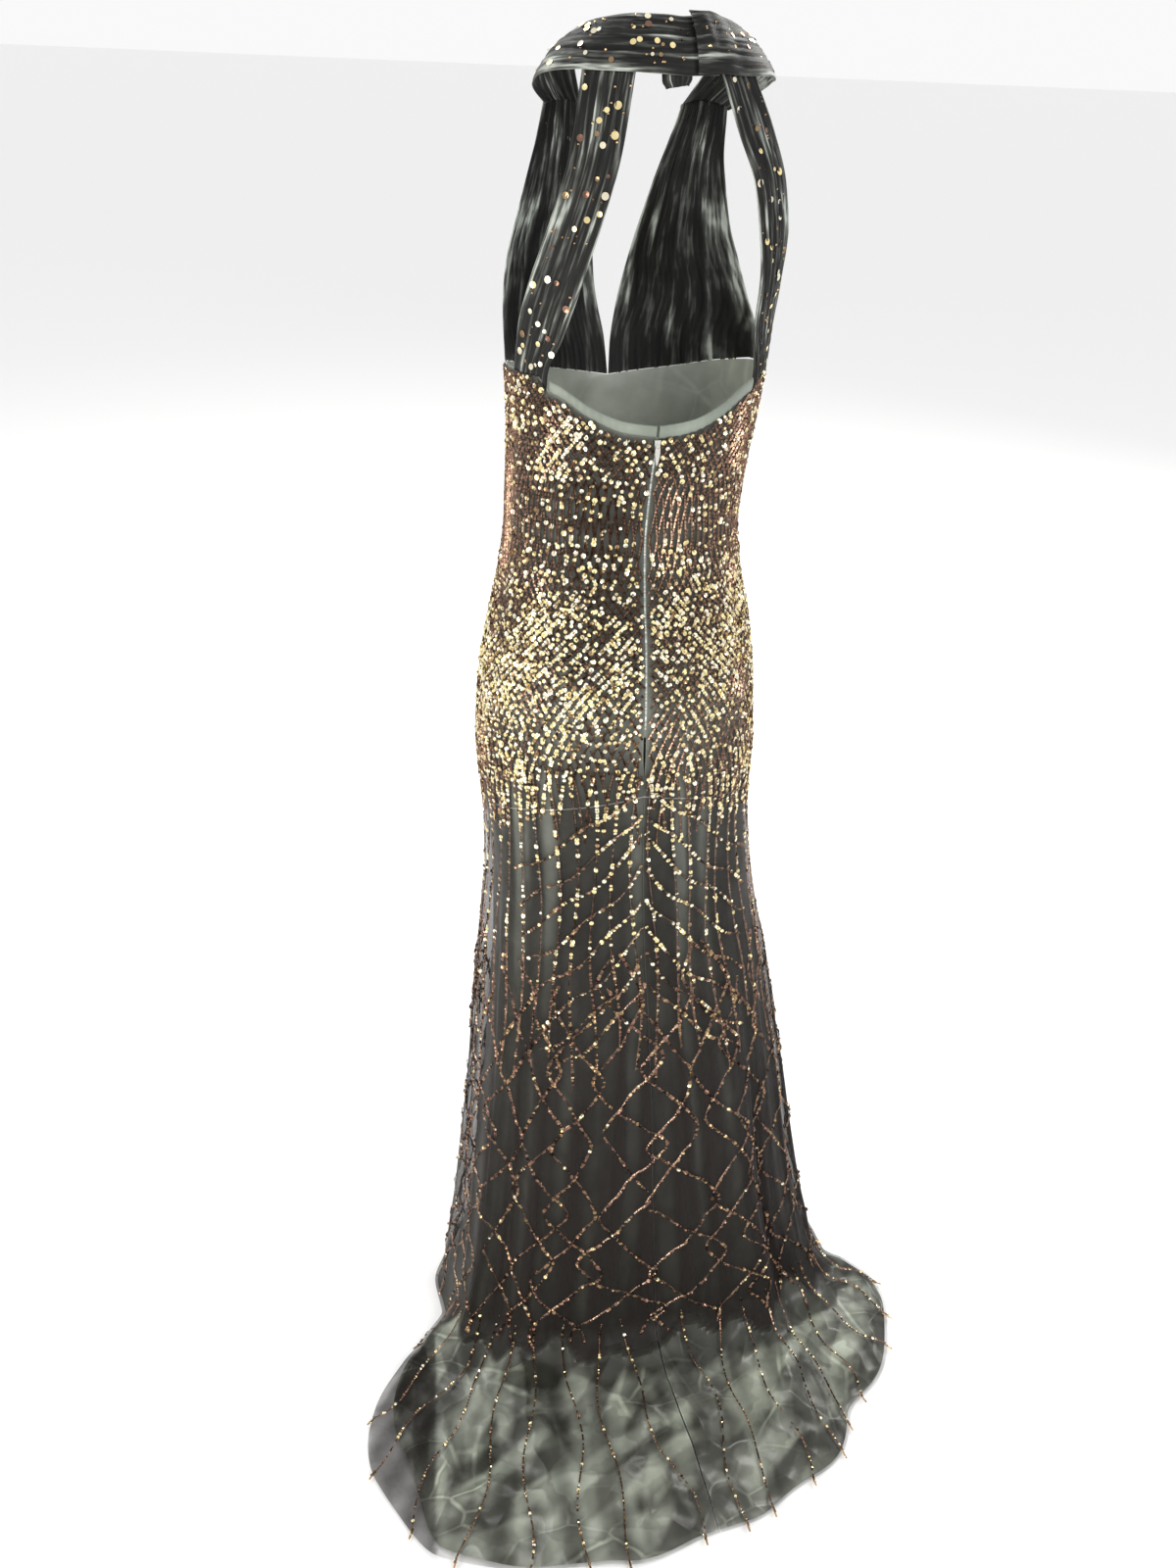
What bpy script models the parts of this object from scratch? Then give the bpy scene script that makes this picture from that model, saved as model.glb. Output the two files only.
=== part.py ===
"""Halter evening gown, worn form, as thin-walled cloth solids.

Row frame: +Z up, the wearer faces -Y, the back faces +Y, the wearer's left
is +X.  The origin is the middle of the neck opening, where the collar is
held; the floor is HOLD below it.  Heights in the tables are above the floor.
"""

import math

import bmesh
import bpy
from mathutils import Vector

for old in list(bpy.data.objects):
    bpy.data.objects.remove(old)

HOLD = 1.500          # origin above the floor
NET = 0.0010          # wall of the sequinned net
LINING = 0.0012       # wall of the silk lining
GAP = 0.0004          # between two layers
SEAM = 0.0004         # between two pieces at a seam
STACK = NET + GAP + LINING
TURN = 0.045          # height where the skirt starts to turn onto the floor
ZIP_HALF = 0.0012     # half of the groove over the zip
ZIP_END = 0.915       # lower end of the zip
BINDING = 0.011       # height of the bound back neckline

# The outer face of the gown by height: half width, depth of the back half and
# of the front half, centre of the section, and how square it is (2 = ellipse).
SECTION_COLUMNS = ("height", "half_width", "back", "front", "centre_x", "centre_y", "square")
SECTIONS = (
    (0.045, 0.250, 0.105, 0.165, -0.070, 0.000, 2.5),
    (0.170, 0.222, 0.104, 0.152, -0.058, 0.002, 2.4),
    (0.280, 0.206, 0.104, 0.142, -0.048, 0.004, 2.3),
    (0.390, 0.192, 0.104, 0.132, -0.040, 0.004, 2.2),
    (0.470, 0.182, 0.104, 0.126, -0.033, 0.003, 2.1),
    (0.570, 0.169, 0.103, 0.118, -0.024, 0.002, 2.0),
    (0.650, 0.157, 0.101, 0.112, -0.016, 0.001, 2.0),
    (0.710, 0.150, 0.101, 0.108, -0.012, 0.000, 2.0),
    (0.780, 0.147, 0.105, 0.105, -0.006, 0.000, 2.0),
    (0.850, 0.149, 0.112, 0.102, -0.001, 0.000, 2.0),
    (0.920, 0.145, 0.111, 0.099, 0.002, 0.000, 2.0),
    (0.990, 0.135, 0.101, 0.096, 0.003, 0.000, 2.0),
    (1.050, 0.122, 0.089, 0.090, 0.005, 0.000, 2.0),
    (1.100, 0.116, 0.083, 0.086, 0.006, 0.000, 2.0),
    (1.150, 0.117, 0.082, 0.090, 0.004, 0.000, 2.0),
    (1.200, 0.120, 0.084, 0.098, 0.001, 0.000, 2.0),
    (1.245, 0.124, 0.086, 0.110, 0.000, 0.000, 2.0),
    (1.290, 0.127, 0.092, 0.120, 0.000, 0.000, 2.0),
    (1.330, 0.133, 0.098, 0.112, 0.000, 0.000, 2.0),
    (1.370, 0.138, 0.101, 0.097, 0.000, 0.000, 2.0),
    (1.410, 0.138, 0.099, 0.083, 0.000, 0.000, 2.0),
    (1.450, 0.124, 0.091, 0.068, 0.000, 0.000, 2.0),
    (1.490, 0.105, 0.083, 0.058, 0.000, 0.000, 2.0),
)

# Soft folds of the skirt: angle from the centre back, how wide, how deep at
# the floor, and the height where the fold starts.
FOLD_COLUMNS = ("angle", "width", "depth", "start")
FOLDS = (
    (-158.0, 9.0, 0.007, 0.60),
    (-128.0, 10.0, 0.008, 0.66),
    (-101.0, 8.0, 0.006, 0.58),
    (-74.0, 7.0, 0.007, 0.62),
    (-47.0, 6.0, -0.014, 0.60),
    (-31.0, 7.0, 0.009, 0.66),
    (-9.0, 7.0, 0.006, 0.56),
    (13.0, 7.0, 0.007, 0.62),
    (33.0, 7.0, 0.006, 0.54),
    (53.0, 6.0, -0.007, 0.66),
    (68.0, 7.0, 0.007, 0.70),
    (104.0, 9.0, 0.007, 0.64),
    (134.0, 10.0, 0.008, 0.60),
    (166.0, 9.0, 0.006, 0.56),
)

# The hem: angle on the skirt, how far the cloth lies on the floor beyond the
# turn, and the way it heads there.  Lining is the share the lining reaches.
HEM_COLUMNS = ("angle", "reach", "heading", "lining")
HEM = (
    (-180.0, 0.030, -180.0, 0.90),
    (-140.0, 0.028, -150.0, 0.90),
    (-110.0, 0.026, -112.0, 0.90),
    (-90.0, 0.032, -80.0, 0.93),
    (-80.0, 0.088, -61.0, 0.96),
    (-70.0, 0.123, -39.0, 0.97),
    (-60.0, 0.159, -24.0, 0.97),
    (-45.0, 0.195, -10.0, 0.97),
    (-30.0, 0.230, -3.0, 0.98),
    (-15.0, 0.256, 1.0, 0.98),
    (0.0, 0.273, 0.0, 0.98),
    (15.0, 0.288, 3.0, 0.98),
    (30.0, 0.288, 12.0, 0.98),
    (45.0, 0.290, 26.0, 0.96),
    (60.0, 0.234, 41.0, 0.78),
    (72.0, 0.151, 54.0, 0.75),
    (82.0, 0.050, 68.0, 0.80),
    (90.0, 0.014, 90.0, 0.80),
    (105.0, 0.014, 108.0, 0.85),
    (140.0, 0.028, 144.0, 0.90),
    (180.0, 0.030, 180.0, 0.90),
)

# How far the net stands off the lining, by angle, in the middle of the skirt.
FLARE_COLUMNS = ("angle", "off")
FLARE = (
    (-180.0, 0.003), (-120.0, 0.003), (-90.0, 0.003), (-50.0, 0.001), (0.0, 0.000),
    (45.0, 0.001), (70.0, 0.006), (85.0, 0.016), (105.0, 0.010), (140.0, 0.003), (180.0, 0.003),
)

# Top edge of the bodice by angle: low at the back, up to the strap feet, and
# down under the bust to the point of the front.
TOP_COLUMNS = ("angle", "height")
TOP = (
    (0.0, 1.207), (15.0, 1.211), (30.0, 1.222), (48.0, 1.240), (62.0, 1.245), (90.0, 1.245),
    (120.0, 1.236), (150.0, 1.222), (180.0, 1.212),
)

# Chevron seam of the lining by angle.
JOIN_COLUMNS = ("angle", "height")
JOIN = ((0.0, 0.838), (40.0, 0.816), (80.0, 0.796), (120.0, 0.790), (180.0, 0.790))

# Collar and halter band by station, from the centre back round to the front:
# angle, radius and height of its neck edge and of its shoulder edge.
COLLAR_COLUMNS = ("neck_angle", "neck_radius", "neck_height", "edge_angle", "edge_radius", "edge_height")
COLLAR = (
    (0.0, 0.061, 1.532, 0.0, 0.088, 1.489),
    (30.0, 0.062, 1.532, 28.0, 0.091, 1.490),
    (60.0, 0.064, 1.528, 54.0, 0.098, 1.490),
    (90.0, 0.068, 1.518, 78.0, 0.105, 1.486),
    (118.0, 0.072, 1.497, 98.0, 0.105, 1.476),
    (143.0, 0.076, 1.459, 117.0, 0.096, 1.459),
)

# Back straps by height: distance of the inner and outer edge from the middle.
STRAP_COLUMNS = ("height", "inner", "outer")
STRAP_LEFT = (
    (1.225, 0.0990, 0.1215), (1.245, 0.0985, 0.1220), (1.280, 0.088, 0.1215), (1.320, 0.078, 0.117),
    (1.360, 0.068, 0.108), (1.400, 0.057, 0.097), (1.440, 0.047, 0.087), (1.490, 0.038, 0.078),
)
STRAP_RIGHT = (
    (1.225, 0.0990, 0.1215), (1.245, 0.0985, 0.1220), (1.290, 0.090, 0.1215), (1.330, 0.088, 0.119),
    (1.370, 0.080, 0.117), (1.410, 0.070, 0.106), (1.450, 0.052, 0.091), (1.490, 0.036, 0.070),
)

# Halter fronts by height: distance of the V edge and of the armhole edge.
FRONT_COLUMNS = ("height", "inner", "outer")
FRONT = (
    (1.212, 0.0003, 0.1236), (1.245, 0.003, 0.1236), (1.275, 0.009, 0.1240), (1.300, 0.014, 0.1205),
    (1.330, 0.019, 0.1140), (1.360, 0.024, 0.1050), (1.395, 0.031, 0.0965), (1.425, 0.038, 0.0900),
    (1.4585, 0.0455, 0.0858),
)


def column(columns, table, name):
    k = columns.index(name)
    return [row[k] for row in table]


def smooth(xs, ys, x):
    """Cubic through the rows, flat-tangent limited, clamped at both ends."""
    if x <= xs[0]:
        return ys[0]
    if x >= xs[-1]:
        return ys[-1]
    i = max(k for k in range(len(xs) - 1) if xs[k] <= x)
    slopes = [(ys[k + 1] - ys[k]) / (xs[k + 1] - xs[k]) for k in range(len(xs) - 1)]

    def tangent(k):
        if k == 0:
            return slopes[0]
        if k == len(xs) - 1:
            return slopes[-1]
        a, b = slopes[k - 1], slopes[k]
        if a * b <= 0.0:
            return 0.0
        return 2.0 * a * b / (a + b)

    h = xs[i + 1] - xs[i]
    t = (x - xs[i]) / h
    m0, m1 = tangent(i) * h, tangent(i + 1) * h
    return (
        (2 * t ** 3 - 3 * t ** 2 + 1) * ys[i] + (t ** 3 - 2 * t ** 2 + t) * m0
        + (-2 * t ** 3 + 3 * t ** 2) * ys[i + 1] + (t ** 3 - t ** 2) * m1
    )


def look(columns, table, key, name, at):
    return smooth(column(columns, table, key), column(columns, table, name), at)


def step(t):
    t = min(1.0, max(0.0, t))
    return t * t * (3.0 - 2.0 * t)


def section(name, height):
    return look(SECTION_COLUMNS, SECTIONS, "height", name, height)


def around(angle, height):
    """Point of the gown's outer face at an angle from the centre back."""
    a = math.radians(angle)
    power = 2.0 / section("square", height)
    s, c = math.sin(a), math.cos(a)
    deep = section("back", height) if c > 0.0 else section("front", height)
    x = section("centre_x", height) + section("half_width", height) * math.copysign(abs(s) ** power, s)
    y = section("centre_y", height) + deep * math.copysign(abs(c) ** power, c)
    return x, y


def folded(angle, height):
    """How far the folds move the skirt out at this place."""
    out = 0.0
    for row in FOLDS:
        at, width, depth, start = row
        off = (angle - at + 180.0) % 360.0 - 180.0
        out += depth * math.exp(-(off / width) ** 2) * step((start - height) / (start - TURN))
    return out


def top_edge(angle):
    return look(TOP_COLUMNS, TOP, "angle", "height", abs(angle))


def join_line(angle):
    return look(JOIN_COLUMNS, JOIN, "angle", "height", abs(angle))


def upright(angle, height):
    x, y = around(angle, height)
    cx, cy = section("centre_x", height), section("centre_y", height)
    away = Vector((x - cx, y - cy, 0.0)).normalized()
    fold = folded(angle, height)
    return Vector((x + away.x * fold, y + away.y * fold, height))


def on_floor(angle, share):
    """Point of the part that lies on the floor: share 0 at the turn, 1 at the hem."""
    start = upright(angle, TURN)
    reach = look(HEM_COLUMNS, HEM, "angle", "reach", angle)
    head = math.radians(look(HEM_COLUMNS, HEM, "angle", "heading", angle))
    go = reach * share
    fall = (1.0 - min(1.0, go / min(reach, 0.062))) ** 2.2
    lift = STACK + 0.0002
    ripple = 0.0035 * step(go / 0.10) * (
        1.0 + 0.6 * math.sin(math.radians(angle * 11.0)) + 0.4 * math.sin(math.radians(angle * 5.0 + 60.0))
    ) * (1.0 - 0.8 * step((share - 0.7) / 0.3))
    return Vector((
        start.x + go * math.sin(head), start.y + go * math.cos(head),
        lift + (TURN - lift) * fall + ripple,
    ))


BODICE_ROWS = 6
SKIRT_ROWS = 6
FLOOR_SHARES = (0.10, 0.24, 0.46, 0.70, 1.0)


def flare(angle, height):
    lower, upper = step((0.80 - height) / 0.22), step((height - 0.02) / 0.10)
    return look(FLARE_COLUMNS, FLARE, "angle", "off", angle) * lower * upper


def meridian(angle, start, rows):
    """Rows of (point, flare) down the gown at one angle, from a start height."""
    found = []
    top, join = start, join_line(angle)
    if "bodice" in rows:
        for k in range(BODICE_ROWS + 1):
            high = top + (join - top) * k / BODICE_ROWS
            if rows == ("bodice",) and k == BODICE_ROWS:
                high = join + SEAM * 0.75
            found.append((upright(angle, high), 0.0))
    if "skirt" in rows:
        first = 1 if "bodice" in rows else 0
        for k in range(first, SKIRT_ROWS + 1):
            high = join + (TURN - join) * (k / SKIRT_ROWS) ** 1.05
            if k == 0:
                high = join - SEAM * 0.75
            found.append((upright(angle, high), flare(angle, high)))
        for share in FLOOR_SHARES:
            found.append((on_floor(angle, share), flare(angle, 0.03) * (1.0 - share)))
    return found


def normals(grid):
    """Normal of a grid of points at each point, from its neighbours."""
    rows, cols = len(grid), len(grid[0])
    made = []
    for i in range(rows):
        line = []
        for j in range(cols):
            down = grid[min(i + 1, rows - 1)][j] - grid[max(i - 1, 0)][j]
            over = grid[i][min(j + 1, cols - 1)] - grid[i][max(j - 1, 0)]
            line.append(over.cross(down).normalized())
        made.append(line)
    return made


MATERIALS = {
    # name: (colour, metallic, roughness)
    "net": ((0.060, 0.045, 0.035), 0.0, 0.70),
    "silk": ((0.150, 0.165, 0.140), 0.0, 0.40),
    "tape": ((0.360, 0.370, 0.330), 0.0, 0.65),
    "metal": ((0.560, 0.540, 0.480), 1.0, 0.30),
}


def finish(name):
    made = bpy.data.materials.get(name)
    if made is None:
        colour, metallic, roughness = MATERIALS[name]
        made = bpy.data.materials.new(name)
        made.use_nodes = True
        shader = made.node_tree.nodes["Principled BSDF"]
        shader.inputs["Base Color"].default_value = (*colour, 1.0)
        shader.inputs["Metallic"].default_value = metallic
        shader.inputs["Roughness"].default_value = roughness
    return made


def add(name, points, faces, material, origin=Vector((0.0, 0.0, HOLD))):
    """Object from points above the floor; its own origin is there too."""
    mesh = bpy.data.meshes.new(name)
    mesh.from_pydata([p - origin for p in points], [], faces)
    work = bmesh.new()
    work.from_mesh(mesh)
    bmesh.ops.recalc_face_normals(work, faces=work.faces)
    work.to_mesh(mesh)
    work.free()
    made = bpy.data.objects.new(name, mesh)
    made.location = origin - Vector((0.0, 0.0, HOLD))
    bpy.context.scene.collection.objects.link(made)
    mesh.materials.append(finish(material))
    return made


def wall(name, grid, outer, inner, material, facing=None, norm=None):
    """Closed wall over a grid of points: outer and inner are distances along
    the normal, numbers or grids of numbers."""
    rows, cols = len(grid), len(grid[0])
    norm = norm or normals(grid)
    if facing is not None:
        mid = norm[rows // 2][cols // 2]
        if mid.dot(facing) < 0.0:
            norm = [[-n for n in line] for line in norm]

    def off(value, i, j):
        return value[i][j] if isinstance(value, list) else value

    points = []
    for value in (outer, inner):
        for i in range(rows):
            for j in range(cols):
                points.append(grid[i][j] + norm[i][j] * off(value, i, j))

    def at(side, i, j):
        return side * rows * cols + i * cols + j

    faces = []
    for i in range(rows - 1):
        for j in range(cols - 1):
            a, b = (i, j), (i, j + 1)
            c, d = (i + 1, j + 1), (i + 1, j)
            # both faces of the wall are split along the same diagonal
            for tri in ((a, b, c), (a, c, d)):
                faces.append(tuple(at(0, *q) for q in tri))
                faces.append(tuple(at(1, *q) for q in reversed(tri)))
    rim = [(0, j) for j in range(cols)] + [(i, cols - 1) for i in range(1, rows)]
    rim += [(rows - 1, j) for j in range(cols - 2, -1, -1)] + [(i, 0) for i in range(rows - 2, 0, -1)]
    for k in range(len(rim)):
        p, q = rim[k], rim[(k + 1) % len(rim)]
        faces.append((at(0, *q), at(0, *p), at(1, *p), at(1, *q)))
    return add(name, points, faces, material)


# ---------------------------------------------------------------- gown body
BACK_COLUMNS, FRONT_COLUMNS_COUNT = 14, 14


def panel_angles(panel):
    if panel == "back_left":
        return [90.0 * k / BACK_COLUMNS for k in range(BACK_COLUMNS + 1)]
    if panel == "back_right":
        return [-90.0 + 90.0 * k / BACK_COLUMNS for k in range(BACK_COLUMNS + 1)]
    return [90.0 + 180.0 * k / FRONT_COLUMNS_COUNT for k in range(FRONT_COLUMNS_COUNT + 1)]


def trimmed(angle, height, panel):
    """Angle pulled back from a seam, or from the zip at the centre back."""
    radius = section("half_width", height)
    half = SEAM / 2
    if panel != "front" and abs(angle) < 0.01:
        half += (ZIP_HALF - SEAM / 2) * step((height - ZIP_END + 0.055) / 0.025)
        give = math.degrees(half / radius)
        return give if panel == "back_left" else -give
    give = math.degrees(half / radius)
    if panel == "back_left" and angle > 89.9:
        return angle - give
    if panel == "back_right" and angle < -89.9:
        return angle + give
    if panel == "front" and angle < 90.1:
        return angle + give
    if panel == "front" and angle > 269.9:
        return angle - give
    return angle


def wrap(angle):
    return (angle + 180.0) % 360.0 - 180.0


BOUND = 8              # columns of each back half that the binding covers


def cut_edge(angle):
    """Top edge of net and lining: below the binding over the low back."""
    steps = abs(angle) * BACK_COLUMNS / 90.0
    return top_edge(angle) - (BINDING + SEAM) * min(1.0, max(0.0, BOUND + 1 - steps))


def body_grid(panel, rows):
    """Points, normals and flare of one panel.  The normals at its edges look
    across the seam, so that the panels on both sides meet squarely."""
    bases = panel_angles(panel)
    wide = bases + [2.0 * bases[-1] - bases[-2]]
    wide.insert(0, 2.0 * bases[0] - bases[1])
    paths = [meridian(wrap(base), cut_edge(wrap(base)), rows) for base in wide]
    count = len(paths[0])
    raw = [[path[i][0] for path in paths] for i in range(count)]
    norm = [line[1:-1] for line in normals(raw)]
    grid, stand = [], []
    for i in range(count):
        line = []
        for j, base in enumerate(bases):
            point = raw[i][j + 1]
            high = max(point.z, TURN)
            here = Vector(around(wrap(base), high))
            there = Vector(around(wrap(trimmed(base, high, panel)), high))
            line.append(point + Vector((there.x - here.x, there.y - here.y, 0.0)))
        grid.append(line)
        stand.append([path[i][1] for path in paths[1:-1]])
    if "lining" in rows:
        # the lining is the shorter one: it ends on the net's last stretch
        for j, base in enumerate(bases):
            full = look(HEM_COLUMNS, HEM, "angle", "lining", wrap(base))
            t = (full - FLOOR_SHARES[-2]) / (1.0 - FLOOR_SHARES[-2])
            grid[-1][j] = grid[-2][j].lerp(grid[-1][j], t)
            norm[-1][j] = norm[-2][j].lerp(norm[-1][j], t)
            stand[-1][j] = stand[-2][j] * (1.0 - t) + stand[-1][j] * t + 0.0008 * (1.0 - t)
    return grid, stand, norm


FACING = {
    "back_left": Vector((0.6, 0.8, 0.2)),
    "back_right": Vector((-0.6, 0.8, 0.2)),
    "front": Vector((0.0, -1.0, 0.1)),
}

for panel in ("back_left", "back_right", "front"):
    grid, stand, norm = body_grid(panel, ("bodice", "skirt"))
    wall("net_" + panel, grid, 0.0, -NET, "net", FACING[panel], norm)
    grid, stand, norm = body_grid(panel, ("bodice",))
    wall("bodice_lining_" + panel, grid, -NET - GAP, -STACK, "silk", FACING[panel], norm)
    grid, stand, norm = body_grid(panel, ("skirt", "lining"))
    near = [[-NET - GAP - v for v in line] for line in stand]
    far = [[-STACK - v for v in line] for line in stand]
    wall("skirt_lining_" + panel, grid, near, far, "silk", FACING[panel], norm)

# ------------------------------------------------- binding of the low back
for side, name in ((1.0, "binding_left"), (-1.0, "binding_right")):
    grid = []
    for k in range(4):
        line = []
        for j in range(BOUND + 1):
            angle = 90.0 * j / BACK_COLUMNS
            high = top_edge(angle) - BINDING * k / 3
            give = 0.0
            if j == 0:
                give = math.degrees(ZIP_HALF / section("half_width", high))
            if j == BOUND:
                give = -math.degrees(0.0008 / section("half_width", high))
            line.append(upright(side * (angle + give), high))
        grid.append(line)
    wall(name, grid, 0.0004, -STACK, "silk", Vector((side * 0.5, 0.8, 0.0)))


# --------------------------------------------------------- upper torso
def on_torso(x, height, front):
    wide = section("half_width", height)
    deep = section("front", height) if front else section("back", height)
    y = deep * math.sqrt(max(0.0, 1.0 - (x / wide) ** 2))
    return Vector((x, -y if front else y, height))


def chord_edge(angle):
    """The cut edge as the faceted panels have it, straight between columns."""
    wide = 90.0 / BACK_COLUMNS if angle < 90.0 else 180.0 / FRONT_COLUMNS_COUNT
    k = int(angle // wide)
    t = angle / wide - k
    return cut_edge(k * wide) * (1.0 - t) + cut_edge((k + 1) * wide) * t


PLEATS = (0.0, 0.0012, -0.0004, 0.0013, -0.0004, 0.0011, 0.0)
PLEAT_STEPS = len(PLEATS) - 1


def collar_point(station, share, side):
    """Point of the collar band: station 0 at the back to 5 at the front,
    share 0 at the neck edge to 1 at the shoulder edge."""
    stations = [float(k) for k in range(len(COLLAR))]

    def value(name):
        return smooth(stations, column(COLLAR_COLUMNS, COLLAR, name), station)

    na, ea = math.radians(value("neck_angle")), math.radians(value("edge_angle"))
    neck = Vector((math.sin(na), math.cos(na), 0.0)) * value("neck_radius")
    edge = Vector((math.sin(ea), math.cos(ea), 0.0)) * value("edge_radius")
    neck.z, edge.z = value("neck_height"), value("edge_height")
    point = neck.lerp(edge, share)
    bulge = 0.0045 * math.sin(math.pi * share)
    point += Vector((point.x, point.y, 0.0)).normalized() * bulge * 0.6 + Vector((0.0, 0.0, bulge * 0.8))
    return Vector((side * point.x, point.y, point.z))


COLLAR_WALL = 0.0026
INSIDE_COLLAR = 1.44   # height of a point that every part of the collar faces away from


def collar_edge_height(x):
    """Height of the collar's shoulder edge above this distance from the middle."""
    best = None
    for k in range(101):
        p = collar_point(2.6 * k / 100, 1.0, 1.0)
        if best is None or abs(p.x - abs(x)) < abs(best.x - abs(x)):
            best = p
    return best.z


def band(name, stations, side, lift):
    """One half of the collar: lift(station) moves it out, for the overlap."""
    grid, out, inn = [], [], []
    for station in stations:
        here = side if station >= 0 else -side
        grid.append([collar_point(abs(station), k / PLEAT_STEPS, here) for k in range(PLEAT_STEPS + 1)])
        out.append([lift(station) + PLEATS[k] for k in range(PLEAT_STEPS + 1)])
        inn.append([lift(station) + PLEATS[k] - COLLAR_WALL for k in range(PLEAT_STEPS + 1)])
    middle = grid[len(grid) // 2][PLEAT_STEPS // 2]
    wall(name, grid, out, inn, "net", middle - Vector((0.0, 0.0, INSIDE_COLLAR)))


# the left half runs on under the right half's end, past the centre back
band(
    "collar_left", [-0.72, -0.55, -0.35, 0.0, 0.5, 1.0, 1.6, 2.2, 2.8, 3.4, 4.0, 4.5, 5.0], 1.0,
    lambda s: 0.0,
)
OVER = COLLAR_WALL + SEAM
band(
    "collar_right", [0.24, 0.36, 0.52, 0.72, 1.0, 1.35, 1.8, 2.3, 2.8, 3.4, 4.0, 4.5, 5.0], -1.0,
    lambda s: OVER * (1.0 - step((s - 0.80) / 0.55)),
)

# end of the band that shows below the collar at the back: half width by height
TAB = ((1.500, 0.0115), (1.492, 0.0125), (1.484, 0.0120), (1.4785, 0.0090))
TAB_MIDDLE = 0.005     # middle of the tab, to the left of the centre back
TAB_SLANT = 0.003      # how much higher its lower edge is on the right
TAB_WALL = 0.0016
TAB_BEHIND = 0.0041    # how far it lies behind the collar's shoulder edge
TAB_LEAN = 0.35
EDGE_RADIUS, EDGE_HEIGHT = COLLAR[0][4:]
grid = []
for high, wide in TAB:
    line = []
    for k in range(5):
        x = TAB_MIDDLE + wide * (k / 2.0 - 1.0)
        slant = TAB_SLANT * (1.0 - k / 4.0) if high < EDGE_HEIGHT else 0.0
        away = EDGE_RADIUS + (EDGE_HEIGHT - high) * TAB_LEAN
        line.append(Vector((x, math.sqrt(away ** 2 - x ** 2) - TAB_BEHIND, high + slant)))
    grid.append(line)
wall("collar_tab", grid, 0.0, -TAB_WALL, "net", Vector((0.0, 1.0, 0.3)))

# back straps: the foot follows the cut edge, with a column at its corner
CORNER = 90.0 / BACK_COLUMNS * (BOUND + 1)
STRAP_ROWS = 10
STRAP_TOP = 1.490      # where the strap meets the collar's edge
STRAP_WALL = 0.0024
UNDER_COLLAR = 0.0017  # and how far below it ends
FOOT_GUESS, SETTLE = 1.235, 6     # first height of a foot, and the rounds to settle it
for side, table, name in ((1.0, STRAP_LEFT, "strap_left"), (-1.0, STRAP_RIGHT, "strap_right")):

    def across_at(height, share, rows=table):
        inner = look(STRAP_COLUMNS, rows, "height", "inner", height)
        outer = look(STRAP_COLUMNS, rows, "height", "outer", height)
        return inner * (1.0 - share) + outer * share

    shares = [k / PLEAT_STEPS for k in range(PLEAT_STEPS + 1)]
    feet = []
    for k, share in enumerate(shares):
        turn = CORNER
        if k != 1:
            low = FOOT_GUESS
            for _ in range(SETTLE):
                turn = math.degrees(math.asin(min(1.0, across_at(low, share) / section("half_width", low))))
                low = chord_edge(turn) + SEAM * 2
            turn = max(turn, CORNER + 1.0) if k > 1 else turn
        low = chord_edge(turn) + SEAM * 2
        feet.append((section("half_width", low) * math.sin(math.radians(turn)), low))
    grid, out, inn = [], [], []
    for i in range(STRAP_ROWS + 1):
        t = i / STRAP_ROWS
        line = []
        for k, share in enumerate(shares):
            foot_x, low = feet[k]
            high_end = collar_edge_height(across_at(STRAP_TOP, share)) - UNDER_COLLAR
            high = low + (high_end - low) * t
            near = max(0.0, 1.0 - 3.0 * t)
            x = across_at(high, share) * (1.0 - near) + foot_x * near
            line.append(on_torso(side * x, high, False))
        grid.append(line)
        ease = math.sin(math.pi * t) ** 0.5 if 0 < i < STRAP_ROWS else 0.0
        out.append([PLEATS[k] * ease for k in range(PLEAT_STEPS + 1)])
        inn.append([PLEATS[k] * ease - STRAP_WALL for k in range(PLEAT_STEPS + 1)])
    wall(name, grid, out, inn, "net", Vector((side * 0.3, 1.0, 0.0)))

# halter fronts, from under the bust to the ends of the collar
HALTER_COLUMNS, HALTER_ROWS = 8, 9
HALTER_LOW, HALTER_TOP = FRONT[0][0], FRONT[-1][0]
HALTER_PLEAT = 0.0011


def front_edge(name, height):
    return look(FRONT_COLUMNS, FRONT, "height", name, height)


def halter_foot(x, across):
    """Height of the halter's lower edge, just clear of the net's cut edge."""
    low = FOOT_GUESS
    for _ in range(SETTLE):
        share = min(1.0, x / section("half_width", low))
        turn = min(179.9, 180.0 - math.degrees(math.asin(share)))
        low = chord_edge(turn) + SEAM * (3.0 + 1.6 * across)
    return low


for side, name in ((1.0, "halter_left"), (-1.0, "halter_right")):
    grid, out, inn = [], [], []
    for i in range(HALTER_ROWS + 1):
        line = []
        t = i / HALTER_ROWS
        at = HALTER_LOW + (HALTER_TOP - HALTER_LOW) * t
        for k in range(HALTER_COLUMNS + 1):
            across = k / HALTER_COLUMNS
            foot_x = front_edge("inner", at) * (1 - across) + front_edge("outer", at) * across
            low = halter_foot(foot_x, across)
            high = max(low * (1 - t) + at * t, low) if i < HALTER_ROWS else HALTER_TOP - SEAM
            x = front_edge("inner", high) * (1 - across) + front_edge("outer", high) * across
            line.append(on_torso(side * x, high, True))
        grid.append(line)
        ease = math.sin(math.pi * t) ** 0.5 if 0 < i < HALTER_ROWS else 0.0
        pleat = [HALTER_PLEAT * (k % 2) * ease for k in range(HALTER_COLUMNS + 1)]
        out.append(pleat)
        inn.append([v - STRAP_WALL for v in pleat])
    wall(name, grid, out, inn, "net", Vector((side * 0.3, -1.0, 0.0)))


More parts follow.
